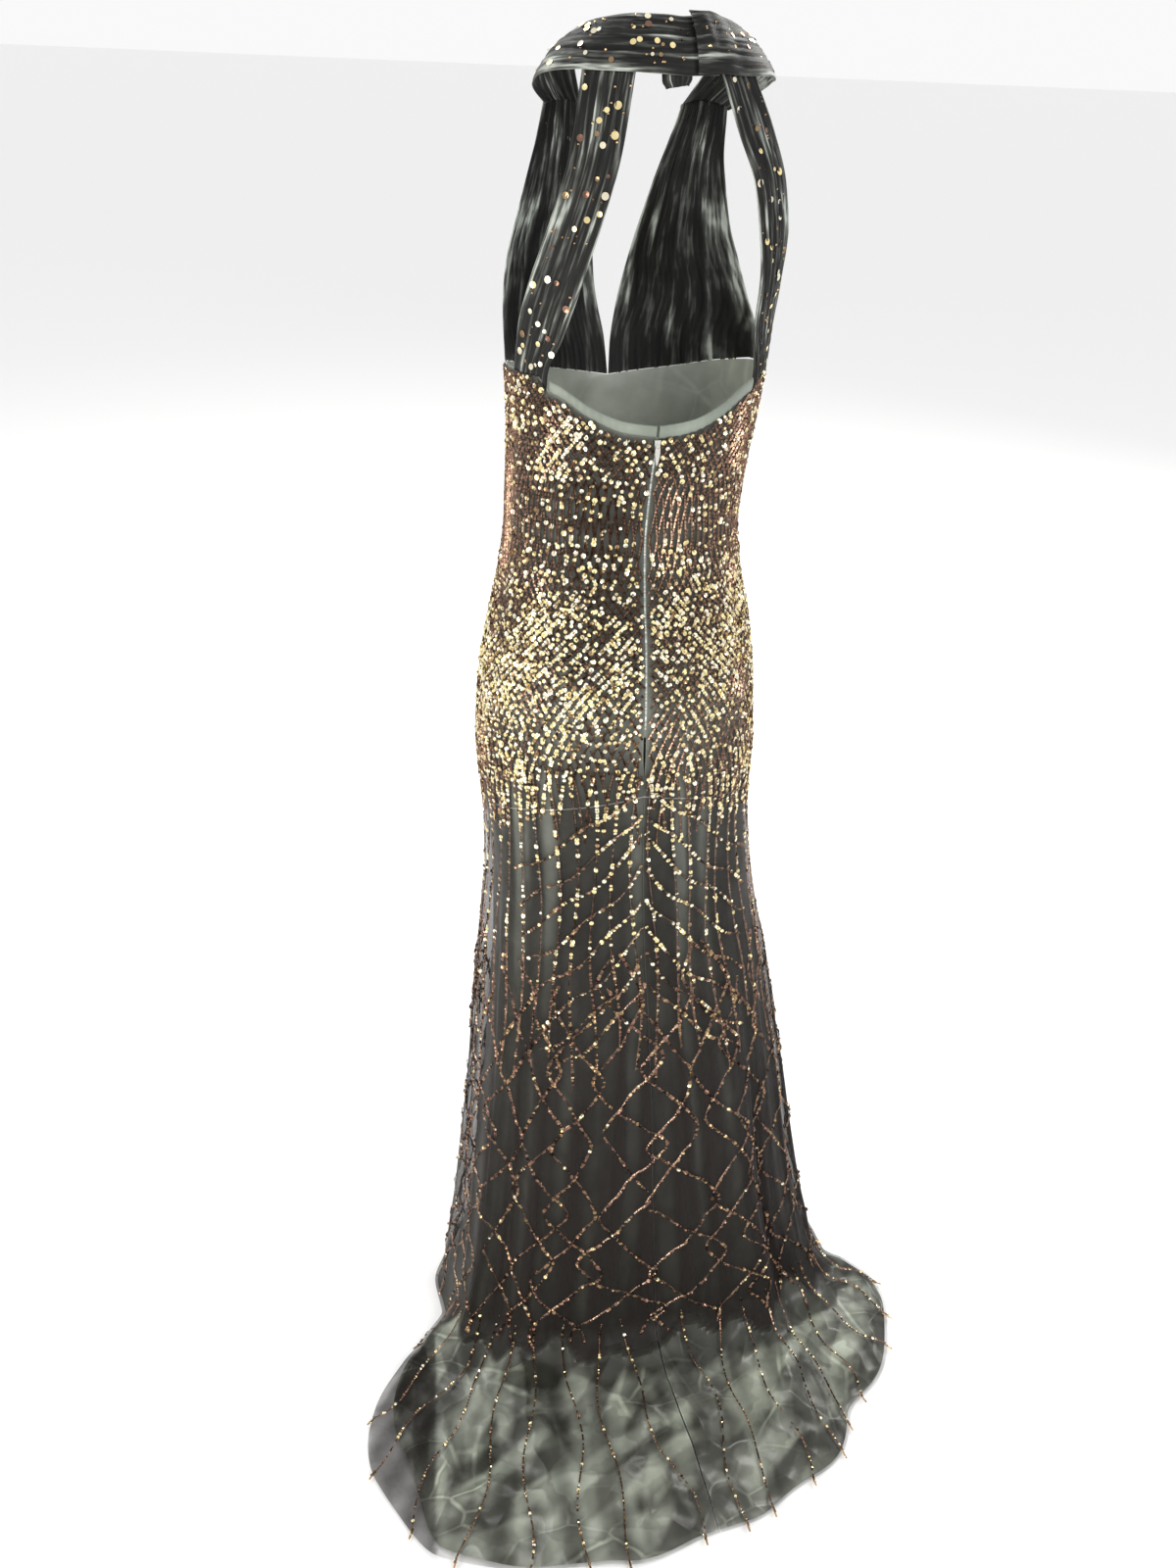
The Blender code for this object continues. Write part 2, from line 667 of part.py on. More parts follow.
# --------------------------------------------------------------------- zip
spine_grid, _, spine_norm = body_grid("back_left", ("bodice",))
SPINE = [
    (Vector((around(0.0, line[0].z)[0], line[0].y, line[0].z)), norm[0])
    for line, norm in zip(spine_grid, spine_norm)
]


def spine(height):
    """Point and normal of the panels' edge at the centre back, straight
    between their rows, so that the zip lies along them."""
    for (upper, n_up), (lower, n_low) in zip(SPINE, SPINE[1:]):
        if height >= lower.z or lower is SPINE[-1][0]:
            t = (upper.z - height) / (upper.z - lower.z)
            return upper.lerp(lower, t), n_up.lerp(n_low, t).normalized()
    return SPINE[-1]


ZIP_TOP = 1.1955
ring = (
    (-0.0100, -0.0040), (0.0100, -0.0040), (0.0100, -0.0030), (0.0008, -0.0030),
    (0.0008, -0.0006), (-0.0008, -0.0006), (-0.0008, -0.0030), (-0.0100, -0.0030),
)
points, faces = [], []
between = [p.z for p, _ in SPINE if ZIP_END + 0.004 < p.z < ZIP_TOP - 0.004]
heights = [ZIP_TOP] + between + [ZIP_END + 0.002, ZIP_END - 0.012]
for high in heights:
    middle, out = spine(high)
    for across, level in ring:
        if abs(across) < 0.002 and level > -0.002 and high < ZIP_END:
            level = -0.0029
        # the tape follows the curve of the back
        sink = 0.0 if abs(across) < 0.002 else 0.0006
        points.append(middle + Vector((across, 0.0, 0.0)) + out * (level - sink))
for i in range(len(heights) - 1):
    for j in range(8):
        a, b = i * 8 + j, i * 8 + (j + 1) % 8
        faces.append((a, b, b + 8, a + 8))
faces.append(tuple(range(7, -1, -1)))
faces.append(tuple((len(heights) - 1) * 8 + j for j in range(8)))
add("zip_tape", points, faces, "tape")

SLIDER_Z = 1.1905      # middle of the slider
SLIDER = spine(SLIDER_Z)[0]
CROWN_OUT = 0.0036     # centre of the crown's ring, out from the net
CROWN_R = 0.0017
CROWN_TUBE = 0.00045


def block(width, low, high, back, front, taper):
    """Points of a tapered block around the slider: width at top and bottom."""
    pts = []
    for z, scale in ((low, taper), (high, 1.0)):
        half = width * scale
        for x, y in ((-half, back), (half, back), (half, front), (-half, front)):
            pts.append(Vector((SLIDER.x + x, SLIDER.y + y, SLIDER_Z + z)))
    return pts, [(0, 1, 2, 3), (7, 6, 5, 4), (0, 4, 5, 1), (1, 5, 6, 2), (2, 6, 7, 3), (3, 7, 4, 0)]


def tube():
    """The crown: a leg out, half a ring, and a leg back in."""
    path = [Vector((0.0, 0.0020, -CROWN_R)), Vector((0.0, CROWN_OUT - 0.0004, -CROWN_R))]
    for k in range(9):
        a = -math.pi / 2 + math.pi * k / 8
        path.append(Vector((0.0, CROWN_OUT + CROWN_R * math.cos(a), CROWN_R * math.sin(a))))
    path += [Vector((0.0, CROWN_OUT - 0.0004, CROWN_R)), Vector((0.0, 0.0020, CROWN_R))]
    pts, fcs = [], []
    for i, p in enumerate(path):
        run = (path[min(i + 1, len(path) - 1)] - path[max(i - 1, 0)]).normalized()
        up = Vector((0.0, -run.z, run.y))
        for j in range(8):
            b = 2.0 * math.pi * j / 8
            q = p + Vector((1.0, 0.0, 0.0)) * CROWN_TUBE * math.cos(b) + up * CROWN_TUBE * math.sin(b)
            pts.append(Vector((SLIDER.x, SLIDER.y, SLIDER_Z)) + q)
    for i in range(len(path) - 1):
        for j in range(8):
            a, b = i * 8 + j, i * 8 + (j + 1) % 8
            fcs.append((a, b, b + 8, a + 8))
    fcs.append(tuple(range(7, -1, -1)))
    fcs.append(tuple((len(path) - 1) * 8 + j for j in range(8)))
    return pts, fcs


def union(name, pieces, material):
    made = [add(name if k == 0 else name + str(k), pts, fcs, material) for k, (pts, fcs) in enumerate(pieces)]
    base = made[0]
    for other in made[1:]:
        work = base.modifiers.new("union", "BOOLEAN")
        work.operation, work.solver, work.object = "UNION", "EXACT", other
    bpy.context.view_layer.update()
    whole = bpy.data.meshes.new_from_object(base.evaluated_get(bpy.context.evaluated_depsgraph_get()))
    base.modifiers.clear()
    base.data = whole
    for other in made[1:]:
        bpy.data.objects.remove(other)
    work = bmesh.new()
    work.from_mesh(whole)
    bmesh.ops.triangulate(work, faces=work.faces)
    work.to_mesh(whole)
    work.free()
    return base


body = block(0.0030, -0.0046, 0.0046, 0.0006, 0.0026, 0.72)
neck = block(0.0007, -0.0040, 0.0040, -0.0003, 0.0012, 1.0)
union("zip_slider", [body, neck, tube()], "metal")

# pull tab: a flat drop with an eye round the crown, hanging down
eye_z = SLIDER_Z - CROWN_R
EYE_R = 0.00085
TAB_HALF, TAB_SWELL = 0.0020, 0.0006     # half width at the eye, and what it gains below
TAB_UP, TAB_DOWN = 0.00135, 0.0168       # reach above and below the eye's middle
TAB_THICK = 0.0010
COUNT = 28
outline, hole = [], []
for k in range(COUNT):
    a = 2.0 * math.pi * k / COUNT
    s, c = math.sin(a), math.cos(a)          # c = +1 points up
    hole.append((EYE_R * s, EYE_R * c))
    if c >= 0.0:
        outline.append((TAB_HALF * s, TAB_UP * c))
    else:
        wide = TAB_HALF + TAB_SWELL * math.sin(math.pi * min(1.0, -c))
        outline.append((wide * s * (1.0 - 0.15 * (-c) ** 3) * 1.05, -TAB_DOWN * (-c) ** 1.25))
points, faces = [], []
for y in (CROWN_OUT + TAB_THICK / 2, CROWN_OUT - TAB_THICK / 2):
    for loop in (outline, hole):
        for x, z in loop:
            points.append(Vector((SLIDER.x + x, SLIDER.y + y, eye_z + z)))
for k in range(COUNT):
    n = (k + 1) % COUNT
    faces.append((k, n, COUNT + n, COUNT + k))
    faces.append((2 * COUNT + n, 2 * COUNT + k, 3 * COUNT + k, 3 * COUNT + n))
    faces.append((k, 2 * COUNT + k, 2 * COUNT + n, n))
    faces.append((COUNT + n, 3 * COUNT + n, 3 * COUNT + k, COUNT + k))
add("zip_pull", points, faces, "metal", Vector((SLIDER.x, SLIDER.y + CROWN_OUT, SLIDER_Z)))
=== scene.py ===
"""Looks of the halter evening gown: gathered tulle, silk lining with a satin
train, sequinned net and the back zip, as thin shells on the frame's forms."""

import math

import bpy
import numpy as np
from mathutils import Matrix, Vector, noise


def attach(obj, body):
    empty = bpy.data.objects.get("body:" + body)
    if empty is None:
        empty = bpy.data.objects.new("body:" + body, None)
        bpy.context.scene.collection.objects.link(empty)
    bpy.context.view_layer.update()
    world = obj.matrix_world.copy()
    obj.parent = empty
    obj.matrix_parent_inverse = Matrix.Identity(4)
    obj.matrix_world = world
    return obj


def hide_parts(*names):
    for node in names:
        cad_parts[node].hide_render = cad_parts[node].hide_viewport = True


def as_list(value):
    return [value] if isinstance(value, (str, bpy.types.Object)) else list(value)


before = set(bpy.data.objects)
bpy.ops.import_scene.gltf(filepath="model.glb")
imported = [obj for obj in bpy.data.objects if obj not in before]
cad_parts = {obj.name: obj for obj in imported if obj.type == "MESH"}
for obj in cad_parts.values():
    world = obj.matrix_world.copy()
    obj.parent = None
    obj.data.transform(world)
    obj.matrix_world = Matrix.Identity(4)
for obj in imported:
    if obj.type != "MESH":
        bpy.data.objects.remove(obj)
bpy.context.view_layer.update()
BODY = "gown"
RNG = np.random.default_rng(7)

# ------------------------------------------------------------ the gown's form
# Heights are above the floor, which lies HOLD below the origin.
HOLD = 1.500
NET, GAP, LINING = 0.0010, 0.0004, 0.0012
STACK = NET + GAP + LINING
TURN = 0.045
BINDING = 0.011
FLOOR_CLEAR = 0.0002    # between the floor's level and the lowest layer
FLOOR_RUN = 0.062       # way along the floor in which the cloth comes down to it
FLOOR_POWER = 2.2       # and how sharply it does so
RIPPLE = 0.0035         # height of the ripples of the train
ZIP_HALF = 0.0012
ZIP_END = 0.915

SECTION_COLUMNS = ("height", "half_width", "back", "front", "centre_x", "centre_y", "square")
SECTIONS = (
    (0.045, 0.250, 0.105, 0.165, -0.070, 0.000, 2.5),
    (0.170, 0.222, 0.104, 0.152, -0.058, 0.002, 2.4),
    (0.280, 0.206, 0.104, 0.142, -0.048, 0.004, 2.3),
    (0.390, 0.192, 0.104, 0.132, -0.040, 0.004, 2.2),
    (0.470, 0.182, 0.104, 0.126, -0.033, 0.003, 2.1),
    (0.570, 0.169, 0.103, 0.118, -0.024, 0.002, 2.0),
    (0.650, 0.157, 0.101, 0.112, -0.016, 0.001, 2.0),
    (0.710, 0.150, 0.101, 0.108, -0.012, 0.000, 2.0),
    (0.780, 0.147, 0.105, 0.105, -0.006, 0.000, 2.0),
    (0.850, 0.149, 0.112, 0.102, -0.001, 0.000, 2.0),
    (0.920, 0.145, 0.111, 0.099, 0.002, 0.000, 2.0),
    (0.990, 0.135, 0.101, 0.096, 0.003, 0.000, 2.0),
    (1.050, 0.122, 0.089, 0.090, 0.005, 0.000, 2.0),
    (1.100, 0.116, 0.083, 0.086, 0.006, 0.000, 2.0),
    (1.150, 0.117, 0.082, 0.090, 0.004, 0.000, 2.0),
    (1.200, 0.120, 0.084, 0.098, 0.001, 0.000, 2.0),
    (1.245, 0.124, 0.086, 0.110, 0.000, 0.000, 2.0),
    (1.290, 0.127, 0.092, 0.120, 0.000, 0.000, 2.0),
    (1.330, 0.133, 0.098, 0.112, 0.000, 0.000, 2.0),
    (1.370, 0.138, 0.101, 0.097, 0.000, 0.000, 2.0),
    (1.410, 0.138, 0.099, 0.083, 0.000, 0.000, 2.0),
    (1.450, 0.124, 0.091, 0.068, 0.000, 0.000, 2.0),
    (1.490, 0.105, 0.083, 0.058, 0.000, 0.000, 2.0),
)

FOLD_COLUMNS = ("angle", "width", "depth", "start")
FOLDS = (
    (-158.0, 9.0, 0.007, 0.60), (-128.0, 10.0, 0.008, 0.66), (-101.0, 8.0, 0.006, 0.58),
    (-74.0, 7.0, 0.007, 0.62), (-47.0, 6.0, -0.014, 0.60), (-31.0, 7.0, 0.009, 0.66),
    (-9.0, 7.0, 0.006, 0.56), (13.0, 7.0, 0.007, 0.62), (33.0, 7.0, 0.006, 0.54),
    (53.0, 6.0, -0.007, 0.66), (68.0, 7.0, 0.007, 0.70), (104.0, 9.0, 0.007, 0.64),
    (134.0, 10.0, 0.008, 0.60), (166.0, 9.0, 0.006, 0.56),
)

HEM_COLUMNS = ("angle", "reach", "heading", "lining")
HEM = (
    (-180.0, 0.030, -180.0, 0.90), (-140.0, 0.028, -150.0, 0.90), (-110.0, 0.026, -112.0, 0.90),
    (-90.0, 0.032, -80.0, 0.93), (-80.0, 0.088, -61.0, 0.96), (-70.0, 0.123, -39.0, 0.97),
    (-60.0, 0.159, -24.0, 0.97), (-45.0, 0.195, -10.0, 0.97), (-30.0, 0.230, -3.0, 0.98),
    (-15.0, 0.256, 1.0, 0.98), (0.0, 0.273, 0.0, 0.98), (15.0, 0.288, 3.0, 0.98),
    (30.0, 0.288, 12.0, 0.98), (45.0, 0.290, 26.0, 0.96), (60.0, 0.234, 41.0, 0.78),
    (72.0, 0.151, 54.0, 0.75), (82.0, 0.050, 68.0, 0.80), (90.0, 0.014, 90.0, 0.80),
    (105.0, 0.014, 108.0, 0.85), (140.0, 0.028, 144.0, 0.90), (180.0, 0.030, 180.0, 0.90),
)

FLARE_COLUMNS = ("angle", "off")
FLARE = (
    (-180.0, 0.003), (-120.0, 0.003), (-90.0, 0.003), (-50.0, 0.001), (0.0, 0.000),
    (45.0, 0.001), (70.0, 0.006), (85.0, 0.016), (105.0, 0.010), (140.0, 0.003), (180.0, 0.003),
)

TOP_COLUMNS = ("angle", "height")
TOP = (
    (0.0, 1.207), (15.0, 1.211), (30.0, 1.222), (48.0, 1.240), (62.0, 1.245), (90.0, 1.245),
    (120.0, 1.236), (150.0, 1.222), (180.0, 1.212),
)
BOUND_END = 51.43       # angle where the binding ends
BOUND_EASE = 6.43       # and over which the cut edge comes up to the full height

JOIN_COLUMNS = ("angle", "height")
JOIN = ((0.0, 0.838), (40.0, 0.816), (80.0, 0.796), (120.0, 0.790), (180.0, 0.790))

COLLAR_COLUMNS = (
    "station", "neck_angle", "neck_radius", "neck_height", "edge_angle", "edge_radius", "edge_height",
)
COLLAR = (
    (0.0, 0.0, 0.061, 1.532, 0.0, 0.088, 1.489),
    (1.0, 30.0, 0.062, 1.532, 28.0, 0.091, 1.490),
    (2.0, 60.0, 0.064, 1.528, 54.0, 0.098, 1.490),
    (3.0, 90.0, 0.068, 1.518, 78.0, 0.105, 1.486),
    (4.0, 118.0, 0.072, 1.497, 98.0, 0.105, 1.476),
    (5.0, 143.0, 0.076, 1.459, 117.0, 0.096, 1.459),
)

STRAP_COLUMNS = ("height", "inner", "outer")
STRAP_LEFT = (
    (1.225, 0.0990, 0.1215), (1.245, 0.0985, 0.1220), (1.280, 0.088, 0.1215), (1.320, 0.078, 0.117),
    (1.360, 0.068, 0.108), (1.400, 0.057, 0.097), (1.440, 0.047, 0.087), (1.490, 0.038, 0.078),
)
STRAP_RIGHT = (
    (1.225, 0.0990, 0.1215), (1.245, 0.0985, 0.1220), (1.290, 0.090, 0.1215), (1.330, 0.088, 0.119),
    (1.370, 0.080, 0.117), (1.410, 0.070, 0.106), (1.450, 0.052, 0.091), (1.490, 0.036, 0.070),
)

FRONT_COLUMNS = ("height", "inner", "outer")
FRONT = (
    (1.212, 0.0003, 0.1236), (1.245, 0.003, 0.1236), (1.275, 0.009, 0.1240), (1.300, 0.014, 0.1205),
    (1.330, 0.019, 0.1140), (1.360, 0.024, 0.1050), (1.395, 0.031, 0.0965), (1.425, 0.038, 0.0900),
    (1.4585, 0.0455, 0.0858),
)


def curve(columns, table, key, name):
    """Smooth function through one column of a table, for whole arrays."""
    xs = np.array([row[columns.index(key)] for row in table])
    ys = np.array([row[columns.index(name)] for row in table])
    slopes = np.diff(ys) / np.diff(xs)
    tangents = np.empty(len(xs))
    tangents[0], tangents[-1] = slopes[0], slopes[-1]
    a, b = slopes[:-1], slopes[1:]
    both = a * b
    tangents[1:-1] = np.where(both > 0.0, 2.0 * both / np.where(both > 0.0, a + b, 1.0), 0.0)

    def at(x):
        x = np.clip(np.asarray(x, float), xs[0], xs[-1])
        i = np.clip(np.searchsorted(xs, x, side="right") - 1, 0, len(xs) - 2)
        h = xs[i + 1] - xs[i]
        t = (x - xs[i]) / h
        return (
            (2 * t ** 3 - 3 * t ** 2 + 1) * ys[i] + (t ** 3 - 2 * t ** 2 + t) * tangents[i] * h
            + (3 * t ** 2 - 2 * t ** 3) * ys[i + 1] + (t ** 3 - t ** 2) * tangents[i + 1] * h
        )

    return at


SECTION = {name: curve(SECTION_COLUMNS, SECTIONS, "height", name) for name in SECTION_COLUMNS[1:]}
REACH = curve(HEM_COLUMNS, HEM, "angle", "reach")
HEADING = curve(HEM_COLUMNS, HEM, "angle", "heading")
LINING_SHARE = curve(HEM_COLUMNS, HEM, "angle", "lining")
FLARE_AT = curve(FLARE_COLUMNS, FLARE, "angle", "off")
TOP_AT = curve(TOP_COLUMNS, TOP, "angle", "height")
JOIN_AT = curve(JOIN_COLUMNS, JOIN, "angle", "height")


def step(t):
    """Smooth rise from 0 to 1 as t goes from 0 to 1."""
    t = np.clip(t, 0.0, 1.0)
    return t * t * (3.0 - 2.0 * t)


def wrap(angle):
    """The same angle from -180 to 180 degrees; 0 is the centre back."""
    return (angle + 180.0) % 360.0 - 180.0


def cut_edge(angle):
    """Height where net and lining end: under the binding, it lies lower."""
    side = np.abs(wrap(angle))
    return TOP_AT(side) - BINDING * (1.0 - np.clip((side - BOUND_END) / BOUND_EASE, 0.0, 1.0))


def form(angle, fall):
    """Outer face of the gown.  fall is the height above the floor; below TURN
    it goes on as minus the way along the floor towards the hem."""
    angle = wrap(np.asarray(angle, float))
    fall = np.asarray(fall, float)
    high = np.maximum(fall, TURN)
    a = np.radians(angle)
    s, c = np.sin(a), np.cos(a)
    power = 2.0 / SECTION["square"](high)
    deep = np.where(c > 0.0, SECTION["back"](high), SECTION["front"](high))
    dx = SECTION["half_width"](high) * np.copysign(np.abs(s) ** power, s)
    dy = deep * np.copysign(np.abs(c) ** power, c)
    fold = np.zeros(np.broadcast(angle, fall).shape)
    for at, width, depth, start in FOLDS:
        off = wrap(angle - at)
        fold = fold + depth * np.exp(-(off / width) ** 2) * step((start - high) / (start - TURN))
    length = np.hypot(dx, dy)
    x = SECTION["centre_x"](high) + dx * (1.0 + fold / length)
    y = SECTION["centre_y"](high) + dy * (1.0 + fold / length)
    reach = REACH(angle)
    head = np.radians(HEADING(angle))
    go = np.minimum(np.maximum(TURN - fall, 0.0), reach)
    drop = (1.0 - np.minimum(1.0, go / np.minimum(reach, FLOOR_RUN))) ** FLOOR_POWER
    lift = STACK + FLOOR_CLEAR
    ripple = RIPPLE * step(go / 0.10) * (
        1.0 + 0.6 * np.sin(np.radians(angle * 11.0)) + 0.4 * np.sin(np.radians(angle * 5.0 + 60.0))
    ) * (1.0 - 0.8 * step((go / reach - 0.7) / 0.3))
    z = np.where(fall >= TURN, fall, lift + (TURN - lift) * drop + ripple)
    return np.stack([x + go * np.sin(head), y + go * np.cos(head), z - HOLD], -1)


def unit(v):
    return v / np.maximum(np.linalg.norm(v, axis=-1, keepdims=True), 1e-12)


def outward(angle, fall):
    """Unit normal of the form, and its directions round and down."""
    turn, drop = 0.4, 0.003
    over = form(angle + turn, fall) - form(angle - turn, fall)
    down = form(angle, fall - drop) - form(angle, fall + drop)
    return unit(np.cross(over, down)), unit(over), unit(down)


def bumpy(points, size, seed):
    """Smooth noise from -1 to 1 at each point."""
    shift = Vector((seed * 7.3, seed * 3.1, seed * 5.7))
    flat = points.reshape(-1, 3) / size
    found = [noise.noise(Vector(p) + shift) for p in flat.tolist()]
    return np.array(found).reshape(points.shape[:-1])


def gathers(angle, fall):
    """Fine soft gathers of the full skirt net, deeper towards the floor."""
    low = step((0.78 - fall) / 0.45) * step((fall - TURN + 0.02) / 0.10)
    a = np.radians(angle)
    wave = (
        np.sin(29.0 * a + 1.3 * np.sin(5.0 * a) + 3.0 * fall)
        + 0.6 * np.sin(47.0 * a + 2.0 * np.sin(3.0 * a + 1.0) - 4.0 * fall)
        + 0.4 * np.sin(71.0 * a + 2.5 * np.sin(7.0 * a))
    )
    return low * wave


WARP = 0.55             # how far noise bends the folded planes, in waves
CREASE_DEPTH = 0.85
CREASE_COLUMNS = ("heading", "wave", "height")
CREASES = (
    (12.0, 0.150, 0.0060), (71.0, 0.110, 0.0046), (-38.0, 0.083, 0.0040), (118.0, 0.059, 0.0026),
    (-7.0, 0.043, 0.0020), (52.0, 0.031, 0.0013),
)


def crumple(points, fall, angle):
    """Sharp creases of the satin that lies on the floor: folded planes that
    cross, each with its own strength from place to place."""
    go = np.maximum(TURN - fall, 0.0)
    on_floor = step(go / 0.05) * (1.0 - 0.55 * step((go / REACH(wrap(angle)) - 0.80) / 0.20))
    warp_x, warp_y = bumpy(points, 0.11, 1), bumpy(points, 0.09, 2)
    height = np.zeros(fall.shape)
    for k, (heading, wave, most) in enumerate(CREASES):
        a = math.radians(heading)
        run = points[..., 0] * math.cos(a) + points[..., 1] * math.sin(a)
        warp = WARP * (warp_x * math.cos(2.1 * k) + warp_y * math.sin(1.7 * k))
        turned = run / wave + warp + 0.37 * k
        fold = 1.0 - 2.0 * np.abs(turned - np.floor(turned) - 0.5)
        local = 0.55 + 0.45 * np.sin(7.0 * warp_x + 2.0 * k)
        height = height + most * local * (1.0 - fold)
    return on_floor * height * CREASE_DEPTH


# ----------------------------------------------------------------- materials
def shader_of(material, **values):
    shader = material.node_tree.nodes["Principled BSDF"]
    for name, value in values.items():
        shader.inputs[name.replace("_", " ")].default_value = value
    return shader


def new_material(name, colour, roughness, metallic=0.0):
    material = bpy.data.materials.new(name)
    material.use_nodes = True
    shader_of(material, Base_Color=(*colour, 1.0), Roughness=roughness, Metallic=metallic)
    return material


def node(material, kind, **values):
    made = material.node_tree.nodes.new(kind)
    for name, value in values.items():
        if name in made.inputs:
            made.inputs[name].default_value = value
        else:
            setattr(made, name, value)
    return made


def link(material, source, target):
    material.node_tree.links.new(source, target)


def attribute(material, name, output="Fac"):
    return node(material, "ShaderNodeAttribute", attribute_name=name).outputs[output]


def ramp(material, source, stops):
    made = node(material, "ShaderNodeValToRGB")
    elements = made.color_ramp.elements
    while len(elements) < len(stops):
        elements.new(0.5)
    for element, (place, colour) in zip(elements, stops):
        element.position = place
        element.color = (*colour, 1.0)
    link(material, source, made.inputs["Fac"])
    return made.outputs["Color"]


def multiply(material, first, second, share=None):
    """Two colours multiplied, by a share that may come from an attribute."""
    mixed = node(material, "ShaderNodeMix", data_type="RGBA", blend_type="MULTIPLY")
    mixed.inputs["Factor"].default_value = 1.0
    if share is not None:
        link(material, share, mixed.inputs["Factor"])
    link(material, first, mixed.inputs[6])
    link(material, second, mixed.inputs[7])
    return mixed.outputs[2]


def maths(material, operation, first, second, clamp=False):
    """Two values put together, each a number or another node's output."""
    made = node(material, "ShaderNodeMath", operation=operation, use_clamp=clamp)
    for socket, value in zip(made.inputs, (first, second)):
        if isinstance(value, float):
            socket.default_value = value
        else:
            link(material, value, socket)
    return made.outputs["Value"]


def coordinates(material, stretch=None, source=None):
    if source is None:
        source = node(material, "ShaderNodeTexCoord").outputs["Object"]
    if stretch is None:
        return source
    mapping = node(material, "ShaderNodeMapping", Scale=stretch)
    link(material, source, mapping.inputs["Vector"])
    return mapping.outputs["Vector"]


def noise_of(material, scale, detail=3.0, stretch=None, source=None):
    made = node(material, "ShaderNodeTexNoise", Scale=scale, Detail=detail)
    link(material, coordinates(material, stretch, source), made.inputs["Vector"])
    return made.outputs["Fac"]


def bump(material, height, strength, distance):
    made = node(material, "ShaderNodeBump", Strength=strength, Distance=distance)
    link(material, height, made.inputs["Height"])
    link(material, made.outputs["Normal"], shader_of(material).inputs["Normal"])


def pushed_cells(material, feature, scale, push_scale, detail, amount, stretch=None, **values):
    """Cells whose edges are pushed about by noise."""
    where = coordinates(material, stretch)
    push = node(material, "ShaderNodeTexNoise", Scale=push_scale, Detail=detail)
    moved = node(material, "ShaderNodeVectorMath", operation="MULTIPLY_ADD")
    moved.inputs[1].default_value = (amount, amount, amount)
    link(material, where, push.inputs["Vector"])
    link(material, push.outputs["Color"], moved.inputs[0])
    link(material, where, moved.inputs[2])
    cells = node(material, "ShaderNodeTexVoronoi", feature=feature, Scale=scale, **values)
    link(material, moved.outputs["Vector"], cells.inputs["Vector"])
    return cells


def facets_of(material, scale):
    return pushed_cells(material, "SMOOTH_F1", scale, scale * 0.8, 2.0, 0.07, Smoothness=0.12)


def grey(value, green=None, blue=None):
    """Colour that is nearly grey."""
    return (value, value if green is None else green, value if blue is None else blue)


def crease_lines(material, scale, stretch):
    """Painted crease light: a painted highlight along each broken crease, with painted shade on its sides,
    and where it shows.
    """
    cells = pushed_cells(material, "DISTANCE_TO_EDGE", scale, scale * 0.9, 2.5, 0.022, stretch)
    crease_light = ramp(material, cells.outputs["Distance"], (
        (0.0, grey(1.45, blue=1.42)), (0.018, grey(1.15, blue=1.13)), (0.036, (0.56, 0.57, 0.55)),
        (0.15, grey(0.95)), (0.3, grey(1.12)),
    ))
    mask = ramp(material, noise_of(material, scale * 0.55, 2.0), ((0.49, grey(0.0)), (0.62, grey(1.0))))
    return crease_light, mask


CREASE_HIGHLIGHT_COLUMNS = ("scale", "stretch")
CREASE_HIGHLIGHTS = ((10.0, (1.3, 0.62, 1.0)), (17.0, (0.7, 1.2, 1.0)))


def silk_material(name, dark, pale, roughness):
    """Silk: tone follows the attribute "tone", with faint painted shade on crumpled facets and painted
    highlights along creases where the satin is crushed.
    """
    material = new_material(name, pale, roughness)
    shader = shader_of(material, Sheen_Weight=0.25, Sheen_Roughness=0.4)
    shader.inputs["Specular IOR Level"].default_value = 0.62
    shader.inputs["Anisotropic"].default_value = 0.35
    tones = ramp(material, attribute(material, "tone"), ((0.0, dark), (1.0, pale)))
    specks = noise_of(material, 26.0, 4.0)
    mottle = ramp(material, specks, ((0.3, (0.74, 0.76, 0.72)), (0.7, grey(1.12, blue=1.10))))
    toned = multiply(material, tones, mottle)
    crush_and_shade = attribute(material, "crush_and_shade")
    facets, finer = facets_of(material, 13.0), facets_of(material, 31.0)
    # painted shade: each crumpled facet is painted a little lighter or darker
    shades = multiply(
        material,
        ramp(material, facets.outputs["Color"], ((0.25, grey(0.86, blue=0.85)), (0.75, (1.14, 1.15, 1.13)))),
        ramp(material, finer.outputs["Color"], ((0.30, grey(0.84, blue=0.82)), (0.80, (1.18, 1.19, 1.17)))),
    )
    shaded_colour = multiply(material, toned, shades, crush_and_shade)
    # painted highlights along the creases, with painted shade beside them
    for scale, stretch in CREASE_HIGHLIGHTS:
        crease_light, shown = crease_lines(material, scale, stretch)
        shaded_colour = multiply(material, shaded_colour, crease_light, maths(material, "MULTIPLY", shown, crush_and_shade))
    link(material, shaded_colour, shader.inputs["Base Color"])
    bump(material, maths(material, "MULTIPLY", facets.outputs["Distance"], crush_and_shade), 0.8, 0.030)
    return material


def net_material(name, colour):
    """Net: see-through by the attribute "veil", closed up by fine mesh."""
    material = new_material(name, colour, 0.75)
    shader = shader_of(material, Sheen_Weight=0.04)
    shader.inputs["Specular IOR Level"].default_value = 0.15
    clear = node(material, "ShaderNodeBsdfTransparent")
    mix = node(material, "ShaderNodeMixShader")
    grain = node(material, "ShaderNodeMapRange")
    grain.inputs["To Min"].default_value = 0.72
    grain.inputs["To Max"].default_value = 1.28
    link(material, noise_of(material, 55.0, 5.0, (1.0, 1.0, 0.18)), grain.inputs["Value"])
    veil = maths(material, "MULTIPLY", attribute(material, "veil"), grain.outputs["Result"], True)
    link(material, veil, mix.inputs["Fac"])
    link(material, clear.outputs["BSDF"], mix.inputs[1])
    link(material, shader.outputs["BSDF"], mix.inputs[2])
    link(material, mix.outputs["Shader"], material.node_tree.nodes["Material Output"].inputs["Surface"])
    return material


